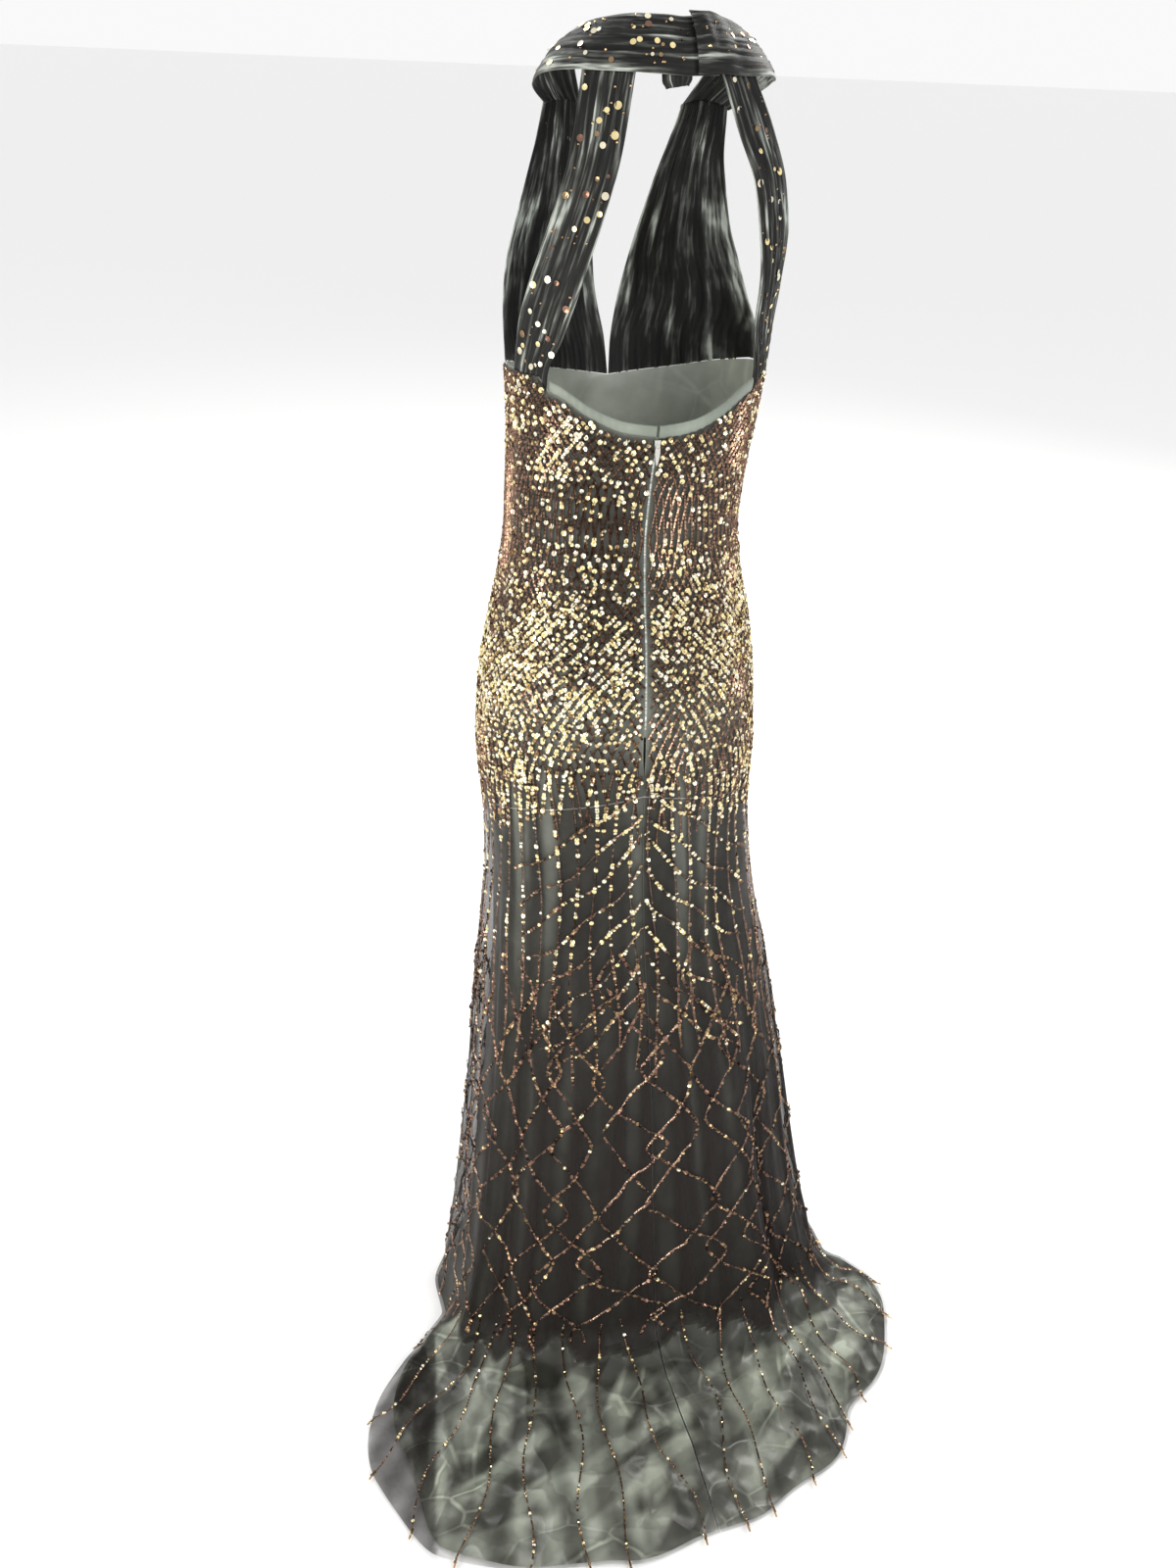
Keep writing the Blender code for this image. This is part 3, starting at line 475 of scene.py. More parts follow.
def tulle_material(name):
    """Gathered tulle over silk: dark and grey streaks along the gathers, paler on
    the pleat tops and rolled edges and darker in the hollows as painted light
    and shade.
    """
    material = new_material(name, (0.05, 0.05, 0.045), 0.55)
    shader = shader_of(material, Sheen_Weight=0.03, Sheen_Roughness=0.5)
    shader.inputs["Specular IOR Level"].default_value = 0.2
    spot = node(material, "ShaderNodeUVMap", uv_map="along").outputs["UV"]
    streaks = noise_of(material, 1.0, 5.0, (11.0, 1.1, 1.0), spot)
    patches = noise_of(material, 1.0, 3.0, (2.2, 2.0, 1.0), spot)
    both = maths(material, "ADD", streaks, maths(material, "MULTIPLY", patches, 0.5))
    # painted light and shade: the pleats' tops and rolled edges come out paler, their hollows darker
    ridge = maths(material, "ADD", both, attribute(material, "ridge"))
    colours = ramp(material, ridge, (
        (0.64, grey(0.003)), (0.77, grey(0.011, blue=0.010)),
        (0.88, (0.080, 0.085, 0.077)), (0.98, (0.40, 0.43, 0.39)),
    ))
    link(material, colours, shader.inputs["Base Color"])
    weave = noise_of(material, 1.0, 2.0, (90.0, 500.0, 1.0), spot)
    bump(material, weave, 0.25, 0.0005)
    return material


def sequin_material(name, roughness):
    """Metallic, with the colour that each sequin or bead carries."""
    material = new_material(name, (0.8, 0.65, 0.4), roughness, 1.0)
    link(material, attribute(material, "tone", "Color"), shader_of(material).inputs["Base Color"])
    return material


def metal_material(name):
    material = new_material(name, (0.72, 0.71, 0.66), 0.28, 1.0)
    bump(material, noise_of(material, 700.0, 3.0), 0.15, 0.0002)
    return material


def tape_material(name):
    material = new_material(name, (0.42, 0.45, 0.40), 0.75)
    ribs = node(material, "ShaderNodeTexWave", Scale=900.0, bands_direction="Z")
    link(material, node(material, "ShaderNodeTexCoord").outputs["Object"], ribs.inputs["Vector"])
    colours = ramp(material, ribs.outputs["Fac"], ((0.2, (0.30, 0.33, 0.29)), (0.8, (0.50, 0.53, 0.47))))
    link(material, colours, shader_of(material).inputs["Base Color"])
    bump(material, ribs.outputs["Fac"], 0.4, 0.0003)
    return material


SILK = silk_material("silk lining", (0.045, 0.046, 0.036), (0.50, 0.53, 0.47), 0.34)
BOUND_SILK = silk_material("bound edge", (0.07, 0.080, 0.068), (0.25, 0.28, 0.24), 0.5)
NET_CLOTH = net_material("fine net", (0.012, 0.009, 0.008))
TULLE = tulle_material("gathered tulle")
SEQUIN = sequin_material("sequins", 0.24)
DISC = sequin_material("flat sequins", 0.18)
METAL = metal_material("zip metal")
TAPE = tape_material("zip tape")
COIL = new_material("zip coil", (0.62, 0.64, 0.58), 0.5)
link(COIL, attribute(COIL, "tone", "Color"), shader_of(COIL).inputs["Base Color"])


# --------------------------------------------------------------- mesh making
def new_piece(name, points, faces, material, smooth=True):
    mesh = bpy.data.meshes.new(name)
    mesh.from_pydata(points.reshape(-1, 3).tolist(), [], faces.tolist())
    mesh.materials.append(material)
    mesh.polygons.foreach_set("use_smooth", np.full(len(mesh.polygons), smooth))
    mesh.update()
    piece = bpy.data.objects.new(name, mesh)
    bpy.context.scene.collection.objects.link(piece)
    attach(piece, BODY)
    return piece


def grid_faces(rows, cols):
    """Squares between the points of a grid that is listed row by row."""
    i, j = np.meshgrid(np.arange(rows - 1), np.arange(cols - 1), indexing="ij")
    a = (i * cols + j).ravel()
    return np.stack([a, a + cols, a + cols + 1, a + 1], -1)


def paint(piece, name, values):
    """Number at each vertex, for a material to read."""
    layer = piece.data.attributes.new(name, "FLOAT", "POINT")
    layer.data.foreach_set("value", np.asarray(values, np.float32).ravel())


def lay_map(piece, across, along):
    """UV map "along": x across the band, y along it."""
    layer = piece.data.uv_layers.new(name="along")
    index = np.empty(len(piece.data.loops), np.int32)
    piece.data.loops.foreach_get("vertex_index", index)
    pairs = np.stack([across.ravel()[index], along.ravel()[index]], -1)
    layer.data.foreach_set("uv", pairs.astype(np.float32).ravel())


# ------------------------------------------------------------- gown's panels
PANELS = {"back_left": (0.0, 90.0), "back_right": (-90.0, 0.0), "front": (90.0, 270.0)}
PANEL_COLUMNS = {"back_left": 130, "back_right": 130, "front": 150}
FLOOR_ROWS = {"back_left": 64, "back_right": 64, "front": 12}
BODICE_ROWS = 46
SEAM_GAP = 0.0003       # half of the gap at the chevron seam of the lining


def zip_gap(fall):
    """Half of the gap between the back panels."""
    return 0.0002 + (ZIP_HALF - 0.0002) * step((fall - ZIP_END + 0.055) / 0.025)


def part_at_zip(panel, angle, fall):
    """Angles of a panel's grid, with its edge at the zip drawn back."""
    angles = np.broadcast_to(angle, fall.shape).copy()
    if panel != "front":
        edge = 0 if panel == "back_left" else -1
        radius = SECTION["half_width"](np.maximum(fall[:, edge], TURN))
        give = np.degrees(zip_gap(fall[:, edge]) / radius)
        angles[:, edge] += give if panel == "back_left" else -give
    return angles


def panel_grid(panel, start, end_share, upright_step, floor_rows):
    """Angles and falls of one panel's grid, from the height start(angle) down
    and out over the floor, to the share end_share(angle) of the way to the hem."""
    low, high = PANELS[panel]
    angle = np.linspace(low, high, PANEL_COLUMNS[panel])
    top = start(angle)
    count = int(round((float(top.mean()) - TURN) / upright_step))
    t = np.linspace(0.0, 1.0, count)[:, None]
    upright = top[None, :] * (1.0 - t) + TURN * t
    share = np.linspace(0.0, 1.0, floor_rows + 1)[1:, None]
    floor = TURN - share * (REACH(wrap(angle)) * end_share(angle))[None, :]
    fall = np.vstack([upright, floor])
    return part_at_zip(panel, angle, fall), fall


def floor_share(angle, fall):
    """1 where the cloth lies on the floor, from a ragged line at its foot."""
    ragged = 0.008 * np.sin(np.radians(angle * 9.0)) + 0.007 * np.sin(np.radians(angle * 23.0 + 40.0))
    train = step((REACH(wrap(angle)) - 0.040) / 0.050)
    return train * step((TURN - fall - 0.012 - ragged) / 0.009)


def partings(angle):
    """Where the gathered net parts and lets more of the silk show."""
    a = np.radians(angle)
    wave = np.sin(9.0 * a + 1.5 * np.sin(4.0 * a)) + 0.7 * np.sin(23.0 * a + 2.0 * np.sin(3.0 * a + 2.0))
    return step((wave - 0.1) / 1.2)


DEEP_FOLD = -47.0       # the fold that swallows the light, right of the back


def deep_fold(angle, fall):
    """Painted shade: 1 in the depth of that fold, fading out sideways and upwards."""
    return np.exp(-(wrap(angle - DEEP_FOLD) / 4.5) ** 2) * step((0.46 - fall) / 0.30)


def silk_tone(angle, fall):
    """How pale the silk is painted, all of it painted light and shade: grey over
    the body, painted shade under the full net, paler streaks where the net
    parts as painted reflections on its folds, and silvery where the train lies
    in the light."""
    body = step((fall - 0.86) / 0.10)
    # painted reflections: paler silk in streaks where the net parts
    skirt = 0.30 * partings(angle) * step((fall - 0.50) / 0.30) * (1.0 - body)
    # painted highlight: the train is paler where it lies on the floor in the light
    on_floor = floor_share(angle, fall)
    # painted shade in the deep fold
    shade = 0.15 * deep_fold(angle, fall) * (1.0 - on_floor)
    return 0.17 + 0.50 * body + skirt + 0.33 * on_floor - shade


DOUBLED_FROM = 0.215    # the net of the train is doubled over beyond this x


def veil_of(angle, fall):
    """How closed the net looks, from 0, clear, to 1."""
    side = FLARE_AT(wrap(angle)) / 0.016
    reach = REACH(wrap(angle))
    go = np.maximum(TURN - fall, 0.0)
    alone = step((go / reach - LINING_SHARE(wrap(angle))) / 0.04) * step(go / 0.02)
    upper = 0.56 - 0.30 * np.exp(-((fall - 0.90) / 0.055) ** 2)
    lower = 0.10 * step((0.80 - fall) / 0.10) + 0.12 * step((0.62 - fall) / 0.34)
    parted = 0.22 * partings(angle) * step((0.88 - fall) / 0.08) * step((fall - 0.45) / 0.25)
    # the net is closed further in the deep fold: painted shade
    lower = lower + 0.15 * gathers(angle, fall) - parted + 0.40 * deep_fold(angle, fall)
    on_floor = floor_share(angle, fall)
    place = form(angle, fall)
    doubled = step((place[..., 0] - DOUBLED_FROM - 0.15 * (place[..., 1] - 0.1)) / 0.006)
    train = 0.20 + 0.16 * np.abs(np.sin(np.radians(angle * 17.0))) ** 8
    twice = 0.74 * doubled * (0.9 + 0.1 * np.sin(angle * 1.1))
    train = np.maximum(train, np.maximum(0.30 * alone, twice))
    hanging = (upper + lower) * (1.0 - 0.30 * side)
    return np.clip(hanging * (1.0 - on_floor) + train * on_floor, 0.03, 0.93)


GATHER = 0.0016         # depth of the gathers


def net_points(angle, fall):
    """Where the net hangs: out by its gathers, on the creases of the train."""
    base = form(angle, fall)
    normal = outward(angle, fall)[0]
    rest = crumple(base, fall, angle)
    full = 2.0 * step((0.80 - fall) / 0.35) * step((fall - TURN) / 0.10)
    wave = GATHER * (gathers(angle, fall) + full)
    return base + normal * (rest + wave + 0.0004)[..., None], normal


def lining_points(angle, fall):
    """Where the lining hangs: under the net, and further in at the flare."""
    base = form(angle, fall)
    normal = outward(angle, fall)[0]
    lower, upper = step((0.80 - fall) / 0.22), step((fall - 0.02) / 0.10)
    off = NET + GAP + LINING / 2 + FLARE_AT(wrap(angle)) * lower * upper
    low = step((0.74 - fall) / 0.4) * step((fall - TURN) / 0.12)
    a = np.radians(angle)
    soft = GATHER * low * (np.sin(17.0 * a + 2.0 * np.sin(2.0 * a)) - 1.0)
    rest = crumple(base, fall, angle)
    return base + normal * (rest + soft - off)[..., None]


def grid_normals(points, facing):
    """Normal at each point of a grid, turned to the side that faces this way."""
    over, down = np.gradient(points, axis=1), np.gradient(points, axis=0)
    normal = unit(np.cross(over, down))
    toward = normal.reshape(-1, 3).mean(0) @ np.array(facing)
    return normal if toward > 0.0 else -normal


def area_of(points):
    """Area of a grid of points, in square metres."""
    over = points[:-1, 1:] - points[:-1, :-1]
    down = points[1:, :-1] - points[:-1, :-1]
    return float(np.linalg.norm(np.cross(over, down), axis=-1).sum())


def make_nets():
    for panel in PANELS:
        angle, fall = panel_grid(panel, cut_edge, lambda a: 1.0, 0.0085, FLOOR_ROWS[panel])
        points, normal = net_points(angle, fall)
        piece = new_piece("gown_net_" + panel, points, grid_faces(*fall.shape), NET_CLOTH)
        paint(piece, "veil", veil_of(angle, fall))
        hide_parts("net_" + panel)
        yield panel, piece, area_of(points)


# Painted sheen and shade: satin on the floor is painted paler on the folds that lean this way, and darker on
# the others.
SHEEN_WAY = np.array([0.75, -0.66, 0.0])
SHEEN_DEPTH = 3.2


def make_linings():
    for panel in PANELS:
        low, high = PANELS[panel]
        # bodice lining, down to the chevron seam
        angle = np.linspace(low, high, PANEL_COLUMNS[panel])
        t = np.linspace(0.0, 1.0, BODICE_ROWS)[:, None]
        seam = JOIN_AT(np.abs(wrap(angle))) + SEAM_GAP
        fall = cut_edge(angle)[None, :] * (1.0 - t) + seam[None, :] * t
        angles = part_at_zip(panel, angle, fall)
        points = lining_points(angles, fall)
        piece = new_piece("gown_bodice_lining_" + panel, points, grid_faces(*fall.shape), SILK)
        # painted light and shade over the bodice lining
        paint(piece, "tone", silk_tone(angles, fall))
        # how crushed the satin is: it sets the bump and how strongly painted facet shade and crease
        # highlights show
        paint(piece, "crush_and_shade", 0.25 * step((fall - 0.80) / 0.10))
        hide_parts("bodice_lining_" + panel)
        yield "bodice", panel, piece, area_of(points)
        # skirt lining, from the seam to the hem
        angle, fall = panel_grid(
            panel, lambda a: JOIN_AT(np.abs(wrap(a))) - SEAM_GAP, lambda a: LINING_SHARE(wrap(a)), 0.010,
            FLOOR_ROWS[panel],
        )
        points = lining_points(angle, fall)
        # painted sheen and shade: the train's tone follows which way each fold leans
        tilt = grid_normals(points, (0.0, 0.0, 1.0)) @ SHEEN_WAY * floor_share(angle, fall)
        piece = new_piece("gown_skirt_lining_" + panel, points, grid_faces(*fall.shape), SILK)
        paint(piece, "tone", np.clip(silk_tone(angle, fall) + SHEEN_DEPTH * tilt, 0.03, 1.0))
        # how crushed the satin is: it sets the bump and how strongly painted facet shade and crease
        # highlights show
        paint(piece, "crush_and_shade", 0.15 + 0.85 * floor_share(angle, fall))
        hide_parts("skirt_lining_" + panel)
        yield "skirt", panel, piece, area_of(points)


# ------------------------------------------------------------------ beadwork
GOLD, CHAMPAGNE = (0.97, 0.80, 0.42), (1.00, 0.91, 0.68)
BRONZE, COPPER, DARK = (0.36, 0.24, 0.13), (0.22, 0.125, 0.090), (0.115, 0.070, 0.050)
BROWN = (0.100, 0.068, 0.053)
TONES = np.array([GOLD, CHAMPAGNE, BRONZE, COPPER, DARK])

# Shares of the five tones in a mix of sequins, and the ways of sewing them on:
# lit strands follow the share of bright gold below, a painted highlight that
# puts gold where the beadwork is to look lit.
BRIGHT_MIX = (0.55, 0.35, 0.08, 0.02, 0.0)
PALE_MIX = (0.50, 0.40, 0.08, 0.02, 0.0)
DULL_MIX = (0.035, 0.015, 0.25, 0.50, 0.20)
MIXED = (0.24, 0.14, 0.26, 0.36, 0.0)
TRAIN_MIX = (0.40, 0.20, 0.24, 0.16, 0.0)
DROP_MIX = (0.6, 0.3, 0.1, 0.0, 0.0)
DISC_MIX = (0.30, 0.34, 0.18, 0.14, 0.04)
STITCH_COLUMNS = ("spacing", "radius", "tilt", "mix", "share", "kept", "tone", "lit")
STITCHES = {
    "bodice_rising": (0.0036, 0.0022, 0.30, BRIGHT_MIX, 1.90, 0.97, DARK, True),
    "bodice_falling": (0.0036, 0.0022, 0.30, BRIGHT_MIX, 0.95, 0.97, DARK, True),
    "skirt_upper": (0.0040, 0.0023, 0.30, PALE_MIX, 2.00, 0.97, BROWN, True),
    "skirt_lower": (0.0038, 0.0017, 0.30, DULL_MIX, 0.90, 0.94, BROWN, False),
    "chevron_bright": (0.0040, 0.0022, 0.32, PALE_MIX, 0.62, 0.97, BROWN, False),
    "chevron_mixed": (0.0040, 0.0022, 0.32, MIXED, 0.62, 0.97, BROWN, False),
    "chevron_far": (0.0040, 0.0020, 0.32, MIXED, 0.70, 0.93, BROWN, False),
    "lattice": (0.0034, 0.0021, 0.42, DULL_MIX, 0.93, 0.93, BROWN, False),
    "train": (0.0042, 0.0017, 0.35, TRAIN_MIX, 0.42, 0.95, DARK, False),
    "train_sparse": (0.0042, 0.0017, 0.35, TRAIN_MIX, 0.42, 0.80, DARK, False),
}
BEAD_WIDTH = 0.0022


def fan(at, tipped, first, second, size, corners, lift, sink):
    """Sequins: a rim of so many corners about a sunk middle, and its faces."""
    rim = [
        at + size * (math.cos(a) * first + math.sin(a) * second) + tipped * lift
        for a in np.linspace(0.0, 2.0 * math.pi, corners + 1)[:-1]
    ]
    faces = [(0, k, k % corners + 1) for k in range(1, corners + 1)]
    return np.stack([at - tipped * sink] + rim, 1), faces


class Sowing:
    """Sequins and seed beads gathered for one joined mesh."""

    def __init__(self, name):
        self.name, self.count = name, 0
        self.points, self.faces, self.tones = [], [], []

    def add(self, shape, faces, tones):
        """shape: (number, vertices, 3); faces: list of triangles of one item."""
        number, each = shape.shape[:2]
        start = self.count + np.arange(number)[:, None, None] * each
        self.faces.append((start + np.array(faces)[None]).reshape(-1, len(faces[0])))
        self.points.append(shape.reshape(-1, 3))
        self.tones.append(np.repeat(tones, each, axis=0))
        self.count += number * each

    def sequins(self, at, normal, along, radius, tilt, mix):
        """Cupped sequins: six facets round a sunk middle, tipped at random."""
        n = len(at)
        if n == 0:
            return
        tipped = unit(normal + RNG.normal(0.0, tilt, (n, 3)))
        first = unit(np.cross(tipped, unit(along + RNG.normal(0.0, 0.3, (n, 3)))))
        second = np.cross(tipped, first)
        size = radius * RNG.uniform(0.7, 1.25, n)[:, None]
        shape, faces = fan(at, tipped, first, second, size, 6, 0.0003, 0.0001)
        self.add(shape, faces, TONES[RNG.choice(5, n, p=mix)] * RNG.uniform(0.8, 1.15, (n, 1)))

    def seeds(self, at, normal, along, length, width, tone=DARK):
        """Dark beads end to end along their strand, each a low ridge."""
        n = len(at)
        if n == 0:
            return
        side = unit(np.cross(normal, along)) * width / 2
        half = along * length / 2
        top = normal * width * 0.45
        low = -normal * width * 0.1
        shape = np.stack([at - half - side + low, at - half + side + low, at + half + side + low,
                          at + half - side + low, at - half * 0.6 + top, at + half * 0.6 + top], 1)
        faces = [(0, 4, 1), (1, 4, 5), (1, 5, 2), (2, 5, 3), (3, 5, 4), (3, 4, 0)]
        shade = np.array(tone)[None] * RNG.uniform(0.6, 1.0, (n, 1)) ** -2
        self.add(shape, faces, shade)

    def make(self, material=None):
        points, faces = np.vstack(self.points), np.vstack(self.faces)
        piece = new_piece(self.name, points, faces, material or SEQUIN, smooth=False)
        layer = piece.data.attributes.new("tone", "FLOAT_COLOR", "POINT")
        tones = np.clip(np.vstack(self.tones), 0.0, 1.0)
        opaque = np.hstack([tones, np.ones((len(tones), 1))])
        layer.data.foreach_set("color", opaque.astype(np.float32).ravel())
        return piece


def panel_of(angle):
    """Name of the panel at each angle."""
    side = wrap(angle)
    return np.where(np.abs(side) > 90.0, "front", np.where(side >= 0.0, "back_left", "back_right"))


def strand(angles, falls, spacing):
    """Even places along a line drawn on the net: points, normals, directions."""
    points = form(angles, falls)
    run = np.concatenate([[0.0], np.cumsum(np.linalg.norm(np.diff(points, axis=0), axis=1))])
    if run[-1] < spacing:
        return None
    at = np.arange(spacing * RNG.uniform(0.2, 0.8), run[-1], spacing)
    at = np.clip(at + RNG.normal(0.0, spacing * 0.08, len(at)), 0.0, run[-1])
    angle, fall = np.interp(at, run, angles), np.interp(at, run, falls)
    place, normal = net_points(angle, fall)
    ahead = form(np.interp(at + 0.001, run, angles), np.interp(at + 0.001, run, falls))
    behind = form(np.interp(at - 0.001, run, angles), np.interp(at - 0.001, run, falls))
    return place + normal * 0.0008, normal, unit(ahead - behind), angle, fall


def glitter(angle, fall):
    """Share of bright gold in the beadwork, a painted highlight put where the
    sequins look lit: most over the hips and the top of the bodice, little at
    the waist, thinning out down the skirt."""
    side = np.abs(np.abs(wrap(angle)) - 90.0) / 90.0
    waist = np.exp(-((fall - 1.115) / 0.050) ** 2) * (0.4 + 0.6 * side)
    hips = np.exp(-((fall - 0.975) / 0.060) ** 2)
    low = step((fall - 0.50) / 0.35)
    a = np.radians(angle)
    patch = 0.5 + 0.5 * np.sin(4.0 * a + 9.0 * fall) * np.sin(3.0 * a + 31.0 * fall + 0.6)
    centre = 1.0 - 0.55 * side ** 6
    share = (0.07 + 0.17 * low + 0.36 * hips) * (0.45 + patch) * centre * (1.0 - 0.7 * waist)
    return np.clip(share, 0.0, 0.85)


def sow(store, line, stitch):
    """A strand of dark beads with bright sequins on a share of the places."""
    spacing, radius, tilt, mix, share, kept, tone, lit = STITCHES[stitch]
    found = strand(*line, spacing)
    if found is None:
        return
    place, normal, along, angle, fall = found
    names = panel_of(angle)
    keep = RNG.uniform(0.0, 1.0, len(place)) < kept
    # painted highlight: more gold sequins where the beadwork is to look lit
    shown = RNG.uniform(0.0, 1.0, len(place)) < share * (glitter(angle, fall) if lit else 1.0)
    for panel in PANELS:
        here = (names == panel) & keep
        s = here & shown
        store[panel].sequins(place[s] + normal[s] * 0.0006, normal[s], along[s], radius, tilt, mix)
        between = place[here] + along[here] * spacing * 0.5
        store[panel].seeds(between, normal[here], along[here], spacing * 0.92, BEAD_WIDTH, tone)


# Beadwork of the bodice: two crossing families of strands, whose turn with
# height follows this slope, in degrees for each metre.
SLOPE_COLUMNS = ("height", "slope")
SLOPE = (
    (0.780, 20.0), (0.840, 60.0), (0.885, 160.0), (0.930, 260.0), (0.975, 390.0), (1.030, 390.0),
    (1.060, 220.0), (1.100, 60.0), (1.135, 90.0), (1.170, 330.0), (1.250, 480.0),
)
BODICE_STRANDS = 96


def bodice_beads():
    """Crossing strands over the bodice and hips, joined for each panel."""
    store = {panel: Sowing("sequins_bodice_" + panel) for panel in PANELS}
    slope = curve(SLOPE_COLUMNS, SLOPE, "height", "slope")
    high = np.linspace(1.250, 0.78, 236)
    turned = np.concatenate([[0.0], np.cumsum(slope((high[1:] + high[:-1]) / 2) * -np.diff(high))])
    middle = np.interp(-1.10, -high, turned)
    for k in range(BODICE_STRANDS):
        first = 360.0 / BODICE_STRANDS * (k + 0.5)
        for way in (1.0, -1.0):
            angle = wrap(first + way * (turned - middle))
            # unwrapped so that the strand stays one line
            angle = np.degrees(np.unwrap(np.radians(angle)))
            side = np.abs(wrap(angle))
            end = JOIN_AT(side) + 0.010 + 0.030 * math.sin(k * 2.3) - 0.05 * (RNG.uniform() < 0.3)
            inside = (high < cut_edge(angle) - 0.001) & (high > end)
            inside &= np.abs(np.radians(wrap(angle))) * 0.1 > zip_gap(high) + 0.0012
            for part in runs(inside):
                rising = way * np.sin(2.0 * np.radians(float(np.mean(angle[part])))) > 0.0
                stitch = "bodice_rising" if rising else "bodice_falling"
                sow(store, (angle[part], high[part]), stitch)
    return [(panel, sowing.make()) for panel, sowing in store.items()]


def runs(mask):
    """Slices of the stretches where mask holds."""
    edges = np.flatnonzero(np.diff(np.concatenate([[0], mask.astype(int), [0]])))
    return [slice(a, b) for a, b in zip(edges[::2], edges[1::2]) if b - a > 2]


SKIRT_LINES = 44
BRIGHT_CHEVRONS = 6
CHEVRONS = (0.862, 0.822, 0.790, 0.752, 0.712, 0.670, 0.636, 0.604)
LATTICE_CELLS = 22
LATTICE_RISE = 0.215


def skirt_beads():
    """Strands, chevrons and the open lattice of the skirt, not yet joined."""
    store = {panel: Sowing("sequins_skirt_" + panel) for panel in PANELS}
    # strands that run down from the bodice
    for k in range(SKIRT_LINES):
        angle = 360.0 / SKIRT_LINES * (k + 0.5)
        high = np.linspace(0.885 - 0.012 * (k % 3), 0.48 + 0.03 * math.sin(k * 1.7), 60)
        drift = 1.6 * np.sin(high * 19.0 + k) + 0.8 * math.sin(k * 3.1)
        angles = angle + drift
        for part, stitch in ((high > 0.62, "skirt_upper"), (high <= 0.64, "skirt_lower")):
            sow(store, (angles[part], high[part]), stitch)
    # chevrons that point up at the centre back and the centre front
    for centre in (0.0, 180.0):
        for k, apex in enumerate(CHEVRONS):
            for way in (1.0, -1.0):
                t = np.linspace(0.0, 1.0, 60)
                angle = centre + way * (0.8 + t * (58.0 - 3.0 * k))
                high = apex - 0.135 * t ** 0.78 - 0.005 * np.sin(t * 11.0 + k * 2.0)
                near, far = t < 0.42, t > 0.40
                stitch = "chevron_bright" if k < BRIGHT_CHEVRONS else "chevron_mixed"
                sow(store, (angle[near], high[near]), stitch)
                sow(store, (angle[far], high[far]), "chevron_far")
    # open lattice of the lower skirt: strands that zigzag over each other
    size = 360.0 / LATTICE_CELLS
    for k in range(LATTICE_CELLS):
        for way in (1.0, -1.0):
            high = np.linspace(0.64 - 0.09 * ((k * 7) % 5) / 4, 0.035, 170)
            beat = (high - 0.05) / LATTICE_RISE * 2.0 * math.pi + 0.5 * math.sin(k * 1.9 + way)
            zigzag = np.arcsin(0.97 * np.cos(beat)) / 1.33
            sway = 2.6 * np.sin(high * 13.0 + k * 1.3 + way) + 1.2 * np.sin(high * 47.0 + k * 2.9)
            angle = size * (k + 0.5) + way * size * 0.60 * zigzag + sway + 1.6 * math.sin(k * 2.1)
            sow(store, (angle, high), "lattice")
    return store


TRAIN_LINES = 22


def train_beads(store):
    """Strands that run out over the train, with a drop at the hem."""
    for k in range(TRAIN_LINES):
        first = -104.0 + 208.0 * (k + 0.5) / TRAIN_LINES
        reach = float(REACH(first))
        if reach < 0.03:
            continue
        share = np.linspace(-0.05, 1.0, 60)
        sway = 3.4 * math.sin(k * 2.7) * np.sin(share * 3.0 + k) + 2.0 * np.sin(share * 9.0 + 2.0 * k)
        angle = first + sway * 0.6
        fall = TURN - share * REACH(angle)
        sow(store, (angle, fall), "train_sparse" if k % 3 else "train")
        hem_drop(store, float(angle[-1]))


def hem_drop(store, angle):
    """Cluster of beads that ends a strand, just past the hem."""
    reach = float(REACH(angle))
    panel = str(panel_of(angle))
    head = np.radians(float(HEADING(angle)))
    way = np.array([math.sin(head), math.cos(head), 0.0])
    base = form(np.array([angle]), np.array([TURN - reach]))[0]
    up = np.array([0.0, 0.0, 1.0])
    for j, past in enumerate((-0.004, 0.0, 0.003, 0.006)):
        at = (base + way * past + up * 0.0012)[None]
        store[panel].sequins(at, up[None], way[None], 0.0021 - 0.0002 * j, 0.35, DROP_MIX)
        store[panel].seeds(at, up[None], way[None], 0.005, BEAD_WIDTH, BRONZE)


# ------------------------------------------------- collar, straps and fronts
def torso(x, high, front):
    """Points on the form of the back or the front, by x and height."""
    wide = SECTION["half_width"](high)
    deep = SECTION["front"](high) if front else SECTION["back"](high)
    y = deep * np.sqrt(np.maximum(0.0, 1.0 - (x / wide) ** 2))
    return np.stack([x, -y if front else y, high - HOLD], -1)


COLLAR_AT = {name: curve(COLLAR_COLUMNS, COLLAR, "station", name) for name in COLLAR_COLUMNS[1:]}


def collar_point(station, share, side):
    """Collar band: station 0 at the back to 5 at the front, negative past the
    middle; share 0 at the neck edge to 1 at the shoulder edge."""
    far = np.abs(station)
    side = side * np.where(station < 0.0, -1.0, 1.0)
    na, ea = np.radians(COLLAR_AT["neck_angle"](far)), np.radians(COLLAR_AT["edge_angle"](far))
    nr, er = COLLAR_AT["neck_radius"](far), COLLAR_AT["edge_radius"](far)
    neck = np.stack([np.sin(na) * nr, np.cos(na) * nr, COLLAR_AT["neck_height"](far)], -1)
    edge = np.stack([np.sin(ea) * er, np.cos(ea) * er, COLLAR_AT["edge_height"](far)], -1)
    point = neck * (1.0 - share[..., None]) + edge * share[..., None]
    bulge = 0.0045 * np.sin(np.pi * share)
    level = point[..., :2] / np.linalg.norm(point[..., :2], axis=-1, keepdims=True)
    point[..., :2] += level * (bulge * 0.6)[..., None]
    point[..., 2] += bulge * 0.8 - HOLD
    point[..., 0] *= side
    return point


